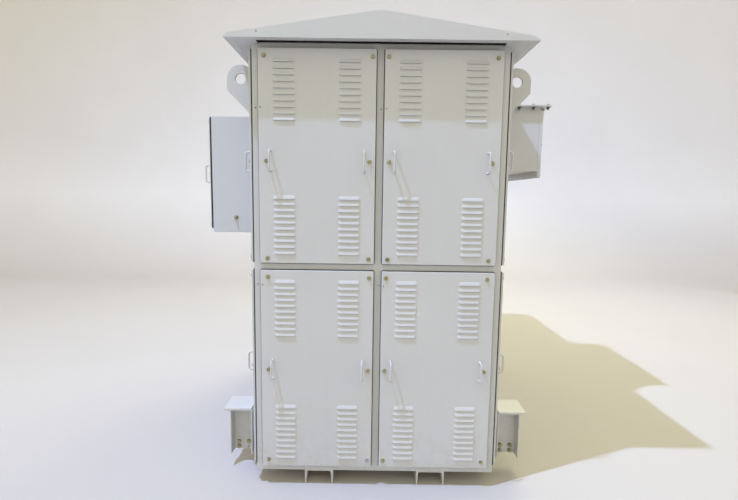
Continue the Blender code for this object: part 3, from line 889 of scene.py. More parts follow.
@dataclass(frozen=True)
class Pan:
    """Folded sheet pan with rounded corners, standing on y=0 with its face at -y.

    Attributes:
        width: Full width.
        height: Full height.
        proud: How far the face stands from the wall.
        back: Where the rim ends, measured from the wall.
        louvres: The louvres pressed into it, or None.
        fold: Radius of the fold round the face.
        fold_steps: Facets of that fold.
    """

    width: float
    height: float
    proud: float
    back: float
    louvres: Louvres | None = None
    fold: float = 0.003
    fold_steps: int = 4

    def mesh(self, press: Press, paint: bpy.types.Material) -> bpy.types.Mesh:
        """Build the pan with its thickness.

        Args:
            press: The shared node trees.
            paint: The material.

        Returns:
            The pan's mesh.
        """
        steps = []
        if self.louvres:
            steps.append(grow(press.louvre_tree(self.louvres), self._louvre_values(paint)))
        steps.append(modifier("SOLIDIFY", thickness=SHEET, offset=-1.0, use_even_offset=False))
        return crisp(evaluated(self._shell(), *steps), PAN_CREASE)

    def _louvre_values(self, paint: bpy.types.Material) -> dict[str, Any]:
        """Collect the values of the louvre tree's inputs.

        Args:
            paint: The material.

        Returns:
            The values by input name.
        """
        lv = self.louvres
        low, high = lv.bases(self.height)
        return {
            "Length": lv.length, "Rise": lv.rise, "Mouth": lv.mouth, "Depth": lv.depth,
            "Pitch": lv.pitch, "End": lv.end, "Bulge": lv.bulge, "Spacing": lv.spacing,
            "Low base": low, "High base": high, "Face": -self.proud, "Paint": paint,
        }

    def _shell(self) -> bpy.types.Mesh:
        """Build the sheet: flange, rim, fold and face, with windows for the banks.

        Returns:
            The sheet's outer side.
        """
        bm = bmesh.new()
        breaks = self._breaks()
        stations = [(FLANGE, -self.back), (0.0, -self.back)]
        for step in range(self.fold_steps + 1):
            angle = math.pi / 2 * step / self.fold_steps
            stations.append((
                self.fold * (1 - math.cos(angle)),
                -self.proud + self.fold * (1 - math.sin(angle))))
        rings = [
            ring(bm, rounded_outline(self.width, self.height, inset, CORNER_RADIUS, breaks), y)
            for inset, y in stations
        ]
        for first, second in zip(rings, rings[1:]):
            bridge(bm, first, second)
        self._face(bm, rings[-1])
        return mesh_of("pan", bm)

    def _breaks(self) -> list[float]:
        """Find where the banks begin and end.

        Returns:
            Those places along x.
        """
        if not self.louvres:
            return []
        half, away = self.louvres.length / 2, self.louvres.spacing / 2
        return [-away - half, -away + half, away - half, away + half]

    def _face(self, bm: bmesh.types.BMesh, edge: Sequence[Any]) -> None:
        """Fill the face inside its edge ring, leaving the banks' windows open.

        Args:
            bm: The bmesh to fill.
            edge: The ring's vertices, from its top left corner.
        """
        if not self.louvres:
            bm.faces.new(edge)
            return
        lv, y = self.louvres, -self.proud
        corner = CORNER_STEPS + 1
        left, bottom = edge[:2 * corner], edge[2 * corner:2 * corner + 4]
        right = edge[2 * corner + 4:4 * corner + 4]
        top = edge[4 * corner + 4:][::-1]
        bases = lv.bases(self.height)
        breaks = self._breaks()
        sides = [
            [[bm.verts.new((x, y, base + z)) for z in lv.levels()] for base in bases]
            for x in breaks
        ]
        rows = [
            [
                [bm.verts.new((away + x, y, level)) for x in lv.across()[1:-1]]
                for level in (base, base + lv.count * lv.pitch)
            ]
            for away in (-lv.spacing / 2, lv.spacing / 2) for base in bases
        ]
        columns = [low + high for low, high in sides]
        bm.faces.new([top[0], *left, bottom[0], *columns[0]])
        bm.faces.new([bottom[1], bottom[2], *columns[2], top[2], top[1], *columns[1][::-1]])
        bm.faces.new([bottom[3], *right, top[3], *columns[3][::-1]])
        for number, (start, stop) in enumerate(((0, 1), (2, 3))):
            (low_under, low_over), (high_under, high_over) = rows[2 * number:2 * number + 2]
            (ll, lh), (rl, rh) = sides[start], sides[stop]
            bm.faces.new([bottom[start], bottom[stop], rl[0], *low_under[::-1], ll[0]])
            bm.faces.new([ll[-1], *low_over, rl[-1], rh[0], *high_under[::-1], lh[0]])
            bm.faces.new([lh[-1], *high_over, rh[-1], top[stop], top[start]])


class Press:
    """Keeps the shared node trees, each made once."""

    def __init__(self) -> None:
        """Make the trees that take no pattern."""
        self._louvres: dict[Louvres, GeometryTree] = {}
        self.rods = bent_rod_tree()
        self.beads = weld_bead_tree()
        self.fixings = fixing_tree()

    def louvre_tree(self, louvres: Louvres) -> GeometryTree:
        """Return the tree for one pattern of louvres."""
        if louvres not in self._louvres:
            self._louvres[louvres] = louvres.tree()
        return self._louvres[louvres]


# Rods, beads and fixings

BEND_STEPS = 7
ROD_SIDES = 14
COLLAR_SIDES = 18
BEAD_SIDES = 8
BEAD_BEAT = 2.0

# A hexagon's chamfer, and its flat top and raised middle as shares of its size
CHAMFER = math.radians(30)
TOP_SHARE = 0.95
CROWN_SHARE = 0.9
CROWN_RISE = 0.02

# A thread's pitch, core and point as shares of its radius, and its start in the nut
THREAD_PITCH = 0.3
THREAD_CORE = 0.88
THREAD_POINT = 0.72
POINT_LENGTH = 0.6
THREAD_START = 0.1

# A washer's rounding as a share of its thickness
WASHER_LIP = 0.25


def bent_rod_tree() -> GeometryTree:
    """Make the tree that turns each path into a bent round rod with collars at its feet.

    Returns:
        The tree.
    """
    t = GeometryTree("bent_rod", {
        "Rod radius": "NodeSocketFloat", "Bend radius": "NodeSocketFloat",
        "Collar radius": "NodeSocketFloat", "Collar height": "NodeSocketFloat",
        "Paint": "NodeSocketMaterial"})
    curve = t.node("GeometryNodeMeshToCurve", {"Mesh": t.given("Geometry")}).outputs[0]
    bent = t.node(
        "GeometryNodeFilletCurve",
        {"Curve": curve, "Count": BEND_STEPS, "Radius": t.given("Bend radius"),
         "Limit Radius": True},
        mode="POLY").outputs[0]
    section = t.node(
        "GeometryNodeCurvePrimitiveCircle",
        {"Resolution": ROD_SIDES, "Radius": t.given("Rod radius")}, mode="RADIUS").outputs[0]
    rod = t.node(
        "GeometryNodeCurveToMesh",
        {"Curve": bent, "Profile Curve": section, "Fill Caps": True}).outputs[0]
    collar = t.node(
        "GeometryNodeMeshCone",
        {"Vertices": COLLAR_SIDES, "Radius Bottom": t.given("Collar radius"),
         "Radius Top": t.given("Rod radius"), "Depth": t.given("Collar height")}).outputs[0]
    ends = t.node("GeometryNodeCurveEndpointSelection").outputs[0]
    feet = t.node(
        "GeometryNodeInstanceOnPoints",
        {"Points": curve, "Selection": ends, "Instance": collar,
         "Rotation": (math.pi / 2, 0.0, 0.0)}).outputs[0]
    t.deliver(t.joined(rod, feet), "Paint")
    return t


def weld_bead_tree() -> GeometryTree:
    """Make the tree that lays a rippled weld bead along each path.

    Returns:
        The tree.
    """
    t = GeometryTree("weld_bead", {
        "Radius": "NodeSocketFloat", "Ripple": "NodeSocketFloat",
        "Spacing": "NodeSocketFloat", "Paint": "NodeSocketMaterial"})
    curve = t.node("GeometryNodeMeshToCurve", {"Mesh": t.given("Geometry")}).outputs[0]
    even = t.node(
        "GeometryNodeResampleCurve",
        {"Curve": curve, "Length": t.given("Spacing")}, mode="LENGTH").outputs[0]
    index = t.node("GeometryNodeSplineParameter").outputs["Index"]
    beat = t.math("PINGPONG", index, BEAD_BEAT)
    scale = t.math("SUBTRACT", 1.0, t.math("MULTIPLY", beat, t.given("Ripple")))
    section = t.node(
        "GeometryNodeCurvePrimitiveCircle",
        {"Resolution": BEAD_SIDES, "Radius": t.given("Radius")}, mode="RADIUS").outputs[0]
    bead = t.node(
        "GeometryNodeCurveToMesh",
        {"Curve": even, "Profile Curve": section, "Scale": scale, "Fill Caps": True}).outputs[0]
    t.deliver(bead, "Paint")
    return t


def fixing_tree() -> GeometryTree:
    """Make the tree that sets a fixing on each point, along the point's own direction.

    Returns:
        The tree.
    """
    t = GeometryTree("fixings", {
        "Fixing": "NodeSocketObject", "Seed": "NodeSocketInt", "Metal": "NodeSocketMaterial"})
    fixing = t.node("GeometryNodeObjectInfo", {"Object": t.given("Fixing")}).outputs["Geometry"]
    along = t.node(
        "GeometryNodeInputNamedAttribute", {"Name": "outward"},
        data_type="FLOAT_VECTOR").outputs[0]
    aimed = t.node(
        "FunctionNodeAlignRotationToVector", {"Vector": along}, axis="Z").outputs[0]
    spin = t.node(
        "FunctionNodeRandomValue",
        {2: 0.0, 3: math.tau, 8: t.given("Seed")}, data_type="FLOAT").outputs[1]
    turn = t.node(
        "FunctionNodeAxisAngleToRotation", {"Axis": (0.0, 0.0, 1.0), "Angle": spin}).outputs[0]
    turned = t.node(
        "FunctionNodeRotateRotation", {0: aimed, 1: turn}, rotation_space="LOCAL").outputs[0]
    placed = t.node(
        "GeometryNodeInstanceOnPoints",
        {"Points": t.given("Geometry"), "Instance": fixing, "Rotation": turned}).outputs[0]
    t.deliver(placed, "Metal")
    return t


def revolved(bm: bmesh.types.BMesh, profile: Sequence[Point2], segments: int) -> None:
    """Add a closed solid of revolution about Z.

    Args:
        bm: The bmesh to add it to.
        profile: Its open profile of (radius, z), from the bottom.
        segments: Its facets.
    """
    turns = [math.tau * i / segments for i in range(segments)]
    rings = [
        [bm.verts.new((radius * math.cos(a), radius * math.sin(a), z)) for a in turns]
        for radius, z in profile
    ]
    for first, second in zip(rings, rings[1:]):
        bridge(bm, first, second)
    bm.faces.new(rings[0][::-1])
    bm.faces.new(rings[-1])


@dataclass(frozen=True)
class Fixing:
    """A hexagon bolt head or nut on a washer, standing on z=0 along +Z.

    Attributes:
        across: Width across the flats.
        head: Height of the head or nut.
        washer: Radius of the washer, or 0 for none.
        washer_height: Thickness of the washer.
        end: Length of threaded end that shows beyond a nut.
        thread: Radius of the thread.
        sides: Facets of washer, hexagon and thread.
    """

    across: float
    head: float
    washer: float = 0.0
    washer_height: float = 0.0018
    end: float = 0.0
    thread: float = 0.005
    sides: tuple[int, int, int] = (24, 36, 16)

    def mesh(self) -> bpy.types.Mesh:
        """Build the fixing.

        Returns:
            Its mesh.
        """
        bm = bmesh.new()
        base = 0.0
        if self.washer:
            base = self.washer_height
            lip = base * WASHER_LIP
            revolved(bm, [
                (self.washer, 0.0), (self.washer, base - lip), (self.washer - lip, base),
            ], self.sides[0])
        self._hexagon(bm, base)
        if self.end:
            self._thread(bm, base + self.head)
        return crisp(mesh_of("fixing", bm, outward=True), FIXING_CREASE)

    def _thread(self, bm: bmesh.types.BMesh, top: float) -> None:
        """Add the threaded end.

        Args:
            bm: The bmesh to add it to.
            top: The nut's top.
        """
        pitch, core, point = (
            self.thread * share for share in (THREAD_PITCH, THREAD_CORE, THREAD_POINT))
        profile, z = [(self.thread, top - self.head * THREAD_START)], top
        while z < top + self.end - pitch:
            profile += [(core, z), (self.thread, z + pitch / 2)]
            z += pitch
        profile.append((point, z + pitch * POINT_LENGTH))
        revolved(bm, profile, self.sides[2])

    def _hexagon(self, bm: bmesh.types.BMesh, base: float) -> None:
        """Add the hexagon with its turned chamfer.

        Args:
            bm: The bmesh to add it to.
            base: Where it stands.
        """
        flat, top, count = self.across / 2, base + self.head, self.sides[1]
        face, crown = flat * TOP_SHARE, top + self.head * CROWN_RISE
        side_low, side_high, edge, rim = [], [], [], []
        for i in range(count):
            angle = math.tau * i / count
            from_flat = (angle + math.pi / 6) % (math.pi / 3) - math.pi / 6
            reach = flat / math.cos(from_flat)
            chamfer = top - max(0.0, reach - face) * math.tan(CHAMFER)
            for ring_points, radius, z in (
                (side_low, reach, base), (side_high, reach, chamfer), (edge, face, top),
                (rim, face * CROWN_SHARE, crown),
            ):
                ring_points.append(bm.verts.new(
                    (radius * math.cos(angle), radius * math.sin(angle), z)))
        bridge(bm, side_low, side_high)
        bridge(bm, side_high, edge)
        bridge(bm, edge, rim)
        bm.faces.new(rim)
        bm.faces.new(side_low[::-1])


COVER_BOLT = Fixing(across=0.0165, head=0.0066, washer=0.0108)
BOX_BOLT = Fixing(across=0.013, head=0.0055, washer=0.0085)
WEB_BOLT = Fixing(across=0.019, head=0.0080, washer=0.0120, washer_height=0.0022)
LID_BOLT = Fixing(across=0.017, head=0.0068, washer=0.0110)
LID_NUT = Fixing(across=0.017, head=0.0085, washer=0.0110, end=0.009, thread=0.005)
EARTH_STUD = Fixing(across=0.019, head=0.0100, washer=0.0130, end=0.014, thread=0.006)
BOND_POINT = Fixing(across=0.0060, head=0.0016, washer=0.0036, washer_height=0.0008)


@dataclass
class FixingSet:
    """Fixings of one kind that make up one piece.

    Attributes:
        fixing: The kind.
        places: Points and directions.
    """

    fixing: Fixing
    places: list[tuple[Vector, Vector]] = field(default_factory=list)

    def put(self, point: Vector, outward: Vector) -> None:
        """Add one place."""
        self.places.append((Vector(point), Vector(outward)))

    def mesh(self, press: Press, metal: bpy.types.Material, seed: int) -> bpy.types.Mesh:
        """Build every fixing of the set.

        Args:
            press: The shared node trees.
            metal: The material.
            seed: Seed of their random turns.

        Returns:
            One mesh that holds them all.
        """
        points = bpy.data.meshes.new("fixing_places")
        points.from_pydata([tuple(p) for p, _ in self.places], [], [])
        facing = points.attributes.new("outward", "FLOAT_VECTOR", "POINT")
        for item, (_, outward) in zip(facing.data, self.places):
            item.vector = outward
        shape = bpy.data.objects.new("fixing_shape", self.fixing.mesh())
        bpy.context.scene.collection.objects.link(shape)
        result = evaluated(
            points, grow(press.fixings, {"Fixing": shape, "Seed": seed, "Metal": metal}))
        bpy.data.objects.remove(shape, do_unlink=True)
        return result


# Assembly

BEAD_PROUD = 0.55
BEAD_RIPPLE = 0.07
BEAD_SPACING = 0.0016


@dataclass
class Assembly:
    """Collects the pieces, gives them their finish and fixes them to the body.

    Attributes:
        press: The shared node trees.
        materials: The materials made so far, by finish.
        names: The names of the pieces added so far.
    """

    press: Press = field(default_factory=Press)
    materials: dict[Finish, bpy.types.Material] = field(default_factory=dict)
    names: list[str] = field(default_factory=list)

    def paint(self, finish: Finish) -> bpy.types.Material:
        """Look a finish's material up, and make it the first time.

        Args:
            finish: The finish.

        Returns:
            Its one material.
        """
        if finish not in self.materials:
            self.materials[finish] = finish.material()
        return self.materials[finish]

    def add(
        self, name: str, mesh: bpy.types.Mesh, finish: Finish, stands_for: Sequence[str] = ()
    ) -> None:
        """Add one piece.

        Args:
            name: The piece's name.
            mesh: Its shape, in place.
            finish: Its finish.
            stands_for: The solids that it replaces.
        """
        piece = bpy.data.objects.new(name, mesh)
        bpy.context.scene.collection.objects.link(piece)
        mesh.name = name
        mesh.materials.clear()
        mesh.materials.append(self.paint(finish))
        for polygon in mesh.polygons:
            polygon.material_index = 0
        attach(piece, BODY)
        if stands_for:
            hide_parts(*stands_for)
        self.names.append(name)
        LOG.info("%s: %d faces", name, len(mesh.polygons))

    def add_fixings(self, name: str, places: FixingSet, finish: Finish, seed: int) -> None:
        """Add a set of fixings as one piece."""
        self.add(name, places.mesh(self.press, self.paint(finish), seed), finish)

    def add_beads(
        self, name: str, paths: Sequence[Sequence[Vector]], radius: float, hand: float = 0.0
    ) -> None:
        """Add weld beads along paths, partly sunk into what they lie on.

        Args:
            name: The piece's name.
            paths: The seams that they follow.
            radius: The beads' radius.
            hand: Which way along x they stand off a wall, 0 for neither.
        """
        shift = Vector((hand * radius * BEAD_PROUD, 0.0, 0.0))
        moved = [[point + shift for point in path] for path in paths]
        mesh = evaluated(paths_mesh(name, moved), grow(self.press.beads, {
            "Radius": radius, "Ripple": BEAD_RIPPLE, "Spacing": BEAD_SPACING,
            "Paint": self.paint(STEEL_PAINT)}))
        self.add(name, crisp(mesh, BEAD_CREASE), STEEL_PAINT)


# Covers


@dataclass(frozen=True)
class Handle:
    """D handle of round rod.

    Attributes:
        height: Its height over all.
        reach: How far it stands out.
        rod: The rod's radius.
        bend: The bends' radius.
        collar: Radius of the weld at its feet.
        collar_height: Height of that weld.
    """

    height: float = 0.108
    reach: float = 0.048
    rod: float = 0.005
    bend: float = 0.014
    collar: float = 0.00775
    collar_height: float = 0.0042

    def path(self, x: float, z: float, face: float) -> list[Vector]:
        """Lay out the rod's middle.

        Args:
            x: The handle's place across.
            z: The height of its middle.
            face: The cover's face along y.

        Returns:
            The path's four points.
        """
        half, out = self.height / 2 - self.rod, face - self.reach + self.rod
        root = face + SHEET / 2
        return [
            Vector((x, root, z + half)), Vector((x, out, z + half)),
            Vector((x, out, z - half)), Vector((x, root, z - half))]


@dataclass(frozen=True)
class Seat:
    """Where a cover stands on its wall.

    Attributes:
        facing: The wall it is on.
        origin: The middle of its bottom edge, on the wall.
        width: The pan's width.
        height: The pan's height.
    """

    facing: Facing
    origin: Vector
    width: float
    height: float

    @classmethod
    def of(cls, node: str, facing: Facing) -> "Seat":
        """Read the seat of a cover from its solid's box.

        Args:
            node: The solid's name.
            facing: The wall that it is on.

        Returns:
            The seat.
        """
        low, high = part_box(node)
        middle = (low + high) / 2
        bottom = low.z + GASKET_OUTSET
        wall = {
            Facing.FRONT: Vector((middle.x, high.y, bottom)),
            Facing.REAR: Vector((middle.x, low.y, bottom)),
            Facing.LEFT: Vector((high.x, middle.y, bottom)),
            Facing.RIGHT: Vector((low.x, middle.y, bottom)),
        }[facing]
        along = high.x - low.x if facing in (Facing.FRONT, Facing.REAR) else high.y - low.y
        out = facing.outward
        return cls(
            facing, wall - out * CLEARANCE, along - 2 * GASKET_OUTSET,
            high.z - low.z - 2 * GASKET_OUTSET)

    @property
    def matrix(self) -> Matrix:
        """From the cover's own axes to the part's."""
        return Matrix.Translation(self.origin) @ self.facing.matrix


@dataclass
class Cover:
    """A bolted cover: pan, gasket, handles and bolts.

    Attributes:
        node: The solid that it stands for.
        facing: The wall it is on.
        handles: Places of its D handles on its face.
        bolts: Places of its bolts on its face.
        louvres: Its louvres, or None.
        proud: How far its face stands from the wall.
        gasket: Thickness of the rubber behind it.
        fixing: The kind of its bolts.
        bright: Numbers of the bolts that are bright instead of yellow.
    """

    node: str
    facing: Facing
    handles: Sequence[Point2]
    bolts: Sequence[Point2]
    louvres: Louvres | None = None
    proud: float = COVER_PROUD
    gasket: float = 0.009
    fixing: Fixing = COVER_BOLT
    bright: Sequence[int] = ()

    def build(self, assembly: Assembly, seed: int) -> None:
        """Add the cover's pieces.

        Args:
            assembly: The assembly to add them to.
            seed: Seed of its bolts' random turns.
        """
        seat = Seat.of(self.node, self.facing)
        paint = assembly.paint(COVER_PAINT)
        pan = Pan(seat.width, seat.height, self.proud, self.gasket, self.louvres)
        for suffix, mesh, finish in (
            ("panel", pan.mesh(assembly.press, paint), COVER_PAINT),
            ("gasket", self._gasket(seat), GASKET_RUBBER),
            ("handles", self._handles(assembly.press, paint), COVER_PAINT),
        ):
            mesh.transform(seat.matrix)
            assembly.add(f"{self.node}_{suffix}", mesh, finish, [self.node])
        plain = [number for number in range(len(self.bolts)) if number not in self.bright]
        self._bolts(assembly, "bolts", YELLOW_PLATE, plain, seed)
        if self.bright:
            self._bolts(assembly, "bright_bolt", BRIGHT_PLATE, self.bright, seed)

    def _gasket(self, seat: Seat) -> bpy.types.Mesh:
        """Build the rubber strip behind the rim, squeezed out a little past it.

        Args:
            seat: The cover's seat.

        Returns:
            The strip's mesh.
        """
        front, back = -self.gasket + CLEARANCE / 2, -CLEARANCE
        lip, bend = GASKET_SQUEEZE - GASKET_OUTSET, (self.gasket - CLEARANCE) * GASKET_ROUND
        stations = [
            (FLANGE, back), (lip, back), (-GASKET_OUTSET, back - bend),
            (-GASKET_OUTSET, front + bend), (lip, front), (FLANGE, front)]
        bm = bmesh.new()
        rings = [
            ring(bm, rounded_outline(seat.width, seat.height, inset, CORNER_RADIUS), y)
            for inset, y in stations
        ]
        for first, second in zip(rings, rings[1:] + rings[:1]):
            bridge(bm, first, second)
        return crisp(mesh_of("gasket", bm, outward=True))

    def _handles(self, press: Press, paint: bpy.types.Material) -> bpy.types.Mesh:
        """Build the bent rods with their weld collars.

        Args:
            press: The shared node trees.
            paint: The material.

        Returns:
            One mesh that holds them all.
        """
        handle = Handle()
        paths = [handle.path(x, z, -self.proud) for x, z in self.handles]
        rods = evaluated(paths_mesh("handles", paths), grow(press.rods, {
            "Rod radius": handle.rod, "Bend radius": handle.bend,
            "Collar radius": handle.collar, "Collar height": handle.collar_height,
            "Paint": paint}))
        return crisp(rods, ROUND_CREASE)

    def _bolts(
        self, assembly: Assembly, suffix: str, finish: Finish, numbers: Sequence[int], seed: int
    ) -> None:
        """Add some of the bolts as one piece.

        Args:
            assembly: The assembly to add them to.
            suffix: The end of the piece's name.
            finish: Their finish.
            numbers: Their numbers.
            seed: Seed of their random turns.
        """
        seat = Seat.of(self.node, self.facing)
        places = FixingSet(self.fixing)
        for x, z in (self.bolts[number] for number in numbers):
            spot = Vector((x, -self.proud - CLEARANCE / 2, z))
            places.put(seat.matrix @ spot, self.facing.outward)
        assembly.add_fixings(f"{self.node}_{suffix}", places, finish, seed)


@dataclass(frozen=True)
class BoltRow:
    """One row of bolts on a cover.

    Attributes:
        rise: Its rise above the cover's bottom edge.
        outer: The inset of its bolt beside the corner post.
        inner: The inset of its bolt beside the mullion.
    """

    rise: float
    outer: float
    inner: float


BOLT_ROWS = {
    "lower": (
        BoltRow(0.0355, 0.0330, 0.0225), BoltRow(0.5290, 0.0380, 0.0225),
        BoltRow(1.0150, 0.0385, 0.0225)),
    "upper": (
        BoltRow(0.0246, 0.0380, 0.0275), BoltRow(0.5078, 0.0385, 0.0275),
        BoltRow(1.0062, 0.0300, 0.0190)),
}


@dataclass(frozen=True)
class Wall:
    """A wall of bolted covers in two storeys.

    Attributes:
        facing: The way it faces.
        handle_rise: How far above a cover's middle its handles are.
    """

    facing: Facing
    handle_rise: float = 0.007

    places: ClassVar[Sequence[str]] = ()

    def covers(self) -> list[Cover]:
        """List the wall's covers, the lower storey first."""
        return [self.cover(storey, place) for storey in STOREYS for place in self.places]

    def cover(self, storey: str, place: str) -> Cover:
        """Describe one cover."""
        raise NotImplementedError

    def node(self, storey: str, place: str) -> str:
        """Name a cover's solid."""
        return f"{self.facing.name.lower()}_{storey}_{place}_cover"


@dataclass(frozen=True)
class EndWall(Wall):
    """The front or rear wall, with louvred covers.

    Attributes:
        post_inset: Inset of the handle beside the corner post.
        mullion_inset: Inset of the handle beside the mullion.
        upper_drop: How far below a cover's middle the upper storey's handles are.
        bright_bolt: Number of the front's one bright bolt.
    """

    post_inset: float = 0.059
    mullion_inset: float = 0.054
    upper_drop: float = 0.014
    bright_bolt: int = 3

    places: ClassVar[Sequence[str]] = HANDS

    def cover(self, storey: str, place: str) -> Cover:
        """Describe one louvred cover.

        Args:
            storey: Its storey.
            place: Its hand, as seen from the front.

        Returns:
            The cover.
        """
        node, front = self.node(storey, place), self.facing is Facing.FRONT
        seat = Seat.of(node, self.facing)
        half = seat.width / 2
        side = 1 if (place == "right") is front else -1
        rise = self.handle_rise if storey == "lower" else -self.upper_drop
        middle = seat.height / 2 + rise
        rows = BOLT_ROWS[storey]
        bolts = [(side * (half - row.outer), row.rise) for row in rows]
        bolts += [(-side * (half - row.inner), row.rise) for row in rows]
        handles = [
            (side * (half - self.post_inset), middle),
            (-side * (half - self.mullion_inset), middle)]
        odd = front and (storey, place) == ("lower", "left")
        return Cover(
            node, self.facing, handles, bolts, Louvres(),
            bright=(self.bright_bolt,) if odd else ())


@dataclass(frozen=True)
class SideWall(Wall):
    """The left or right wall, with a wide plain cover between two narrow ones.

    Attributes:
        narrow_inset: Inset of a narrow cover's bolts.
        wide_inset: Inset of the wide cover's outer bolts.
        column_pitch: Distance between the wide cover's inner bolts.
        handle_inset: Inset of the wide cover's handles.
        left_drop: How much lower the handles of the left's upper storey are.
    """

    narrow_inset: float = 0.030
    wide_inset: float = 0.038
    column_pitch: float = 0.470
    handle_inset: float = 0.067
    left_drop: float = 0.018

    places: ClassVar[Sequence[str]] = ("front", "middle", "rear")

    def cover(self, storey: str, place: str) -> Cover:
        """Describe one plain cover.

        Args:
            storey: Its storey.
            place: Its place from front to rear.

        Returns:
            The cover.
        """
        node, wide = self.node(storey, place), place == "middle"
        seat = Seat.of(node, self.facing)
        half, middle = seat.width / 2, seat.height / 2 + self.handle_rise
        if self.facing is Facing.LEFT and storey == "upper":
            middle -= self.left_drop
        rises = [row.rise for row in BOLT_ROWS[storey]]
        reach = half - (self.wide_inset if wide else self.narrow_inset)
        bolts = [(x, z) for x in (-reach, reach) for z in rises]
        handles = [(0.0, middle)]
        if wide:
            inner = self.column_pitch / 2
            bolts += [(x, z) for x in (-inner, inner) for z in (rises[0], rises[-1])]
            handles = [(x * (half - self.handle_inset), middle) for x in (-1, 1)]
        return Cover(node, self.facing, handles, bolts)


# Boxes, canopy, lugs, brackets and bond points


@dataclass(frozen=True)
class TerminalBox:
    """The terminal box's gasketed cover and its earth stud.

    Attributes:
        proud: How far the cover's face stands from the box.
        gasket: Thickness of the rubber behind it.
        handle_inset: Inset of its handles.
        stud_across: Distance of the stud from the box's outer wall.
        stud_rise: Rise of the stud above the box's bottom.
        seed: Seed of the stud's random turn.
    """

    proud: float = 0.016
    gasket: float = 0.010
    handle_inset: float = 0.060
    stud_across: float = 0.1375
    stud_rise: float = 0.089
    seed: int = 9

    def cover(self) -> Cover:
        """Describe the cover on the box's outer side.

        Returns:
            The cover.
        """
        node = "terminal_box_cover"
        seat = Seat.of(node, Facing.LEFT)
        half, middle = seat.width / 2, seat.height / 2
        across, reach = half - BOX_BOLT_INSET, half - self.handle_inset
        rises = (BOX_BOLT_INSET, middle, seat.height - BOX_BOLT_INSET)
        bolts = [(x, z) for x in (-across, across) for z in rises]
        bolts += [(0.0, rises[0]), (0.0, rises[-1])]
        return Cover(
            node, Facing.LEFT, [(-reach, middle), (reach, middle)], bolts,
            proud=self.proud, gasket=self.gasket, fixing=BOX_BOLT)

    def build_stud(self, assembly: Assembly) -> None:
        """Add the earth stud low on the box's front.

        Args:
            assembly: The assembly to add it to.
        """
        low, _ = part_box("terminal_box")
        spot = Vector((self.stud_across, -CLEARANCE / 2, self.stud_rise))
        stud = FixingSet(EARTH_STUD)
        stud.put(low + spot, Vector((0.0, -1.0, 0.0)))
        assembly.add_fixings("terminal_box_earth_stud", stud, YELLOW_PLATE, self.seed)


@dataclass(frozen=True)
class Carried:
    """A solid whose form is right and only gets its edges softened.

    Attributes:
        node: The solid's name.
        finish: Its finish.
        bevel: Radius of its edges.
    """

    node: str
    finish: Finish
    bevel: float = PLATE_EDGE

    def build(self, assembly: Assembly) -> None:
        """Add the softened copy."""
        mesh = softened(self.node, self.bevel)
        assembly.add(f"{self.node}_skin", mesh, self.finish, [self.node])


def carried_solids() -> list[Carried]:
    """List every solid that keeps its form.

    Returns:
        The solids.
    """
    items = [
        Carried(f"{side}_frame", FRAME_PAINT)
        for side in ("front", "rear", "left_side", "right_side")]
    items.append(Carried("floor_plate", FRAME_PAINT, THIN_EDGE))
    items += [Carried(f"{side}_skid", STEEL_PAINT, ROLLED_EDGE) for side in HANDS]
    items += [
        Carried(f"{end}_{side}_jacking_{part}", STEEL_PAINT)
        for end in ENDS for side in HANDS for part in ("bracket", "bar")]
    return items + [
        Carried("terminal_box", COVER_PAINT, FOLDED_EDGE),
        Carried("cable_box", COVER_PAINT),
        Carried("cable_box_cover", COVER_PAINT, FOLDED_EDGE),
        Carried("cable_box_lid", COVER_PAINT)]


@dataclass(frozen=True)
class Canopy:
    """The gable canopy, with two small holes in each gable.

    Attributes:
        hole_offset: Distance of the holes from the middle.
        hole_rise: Their rise above the canopy's lower edge.
        hole_radius: Their radius.
        hole_sides: Their facets.
        drill: Length of the tool that cuts them.
        edge: Radius of the sheet's edges.
        fold: Edges sharper than this, in degrees, are rounded.
    """

    hole_offset: float = 0.580
    hole_rise: float = 0.0265
    hole_radius: float = 0.003
    hole_sides: int = 14
    drill: float = 0.02
    edge: float = 0.0008
    fold: float = 12.0

    def build(self, assembly: Assembly) -> None:
        """Add the canopy.

        Args:
            assembly: The assembly to add it to.
        """
        low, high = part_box("roof_canopy")
        middle = (low.x + high.x) / 2
        drills = [
            self._drill(Vector((middle + offset, y, low.z + self.hole_rise)))
            for offset in (-self.hole_offset, self.hole_offset) for y in (low.y, high.y)]
        skin = softened("roof_canopy", self.edge, self.fold, drills)
        assembly.add("roof_canopy_skin", skin, CANOPY_PAINT, ["roof_canopy"])

    def _drill(self, place: Vector) -> bpy.types.Mesh:
        """Build the tool for one hole.

        Args:
            place: The hole's middle.

        Returns:
            A short cylinder along y.
        """
        bm = bmesh.new()
        bmesh.ops.create_cone(
            bm, cap_ends=True, segments=self.hole_sides, radius1=self.hole_radius,
            radius2=self.hole_radius, depth=self.drill,
            matrix=Matrix.Translation(place) @ Matrix.Rotation(math.pi / 2, 4, "X"))
        return mesh_of("gable_drill", bm)


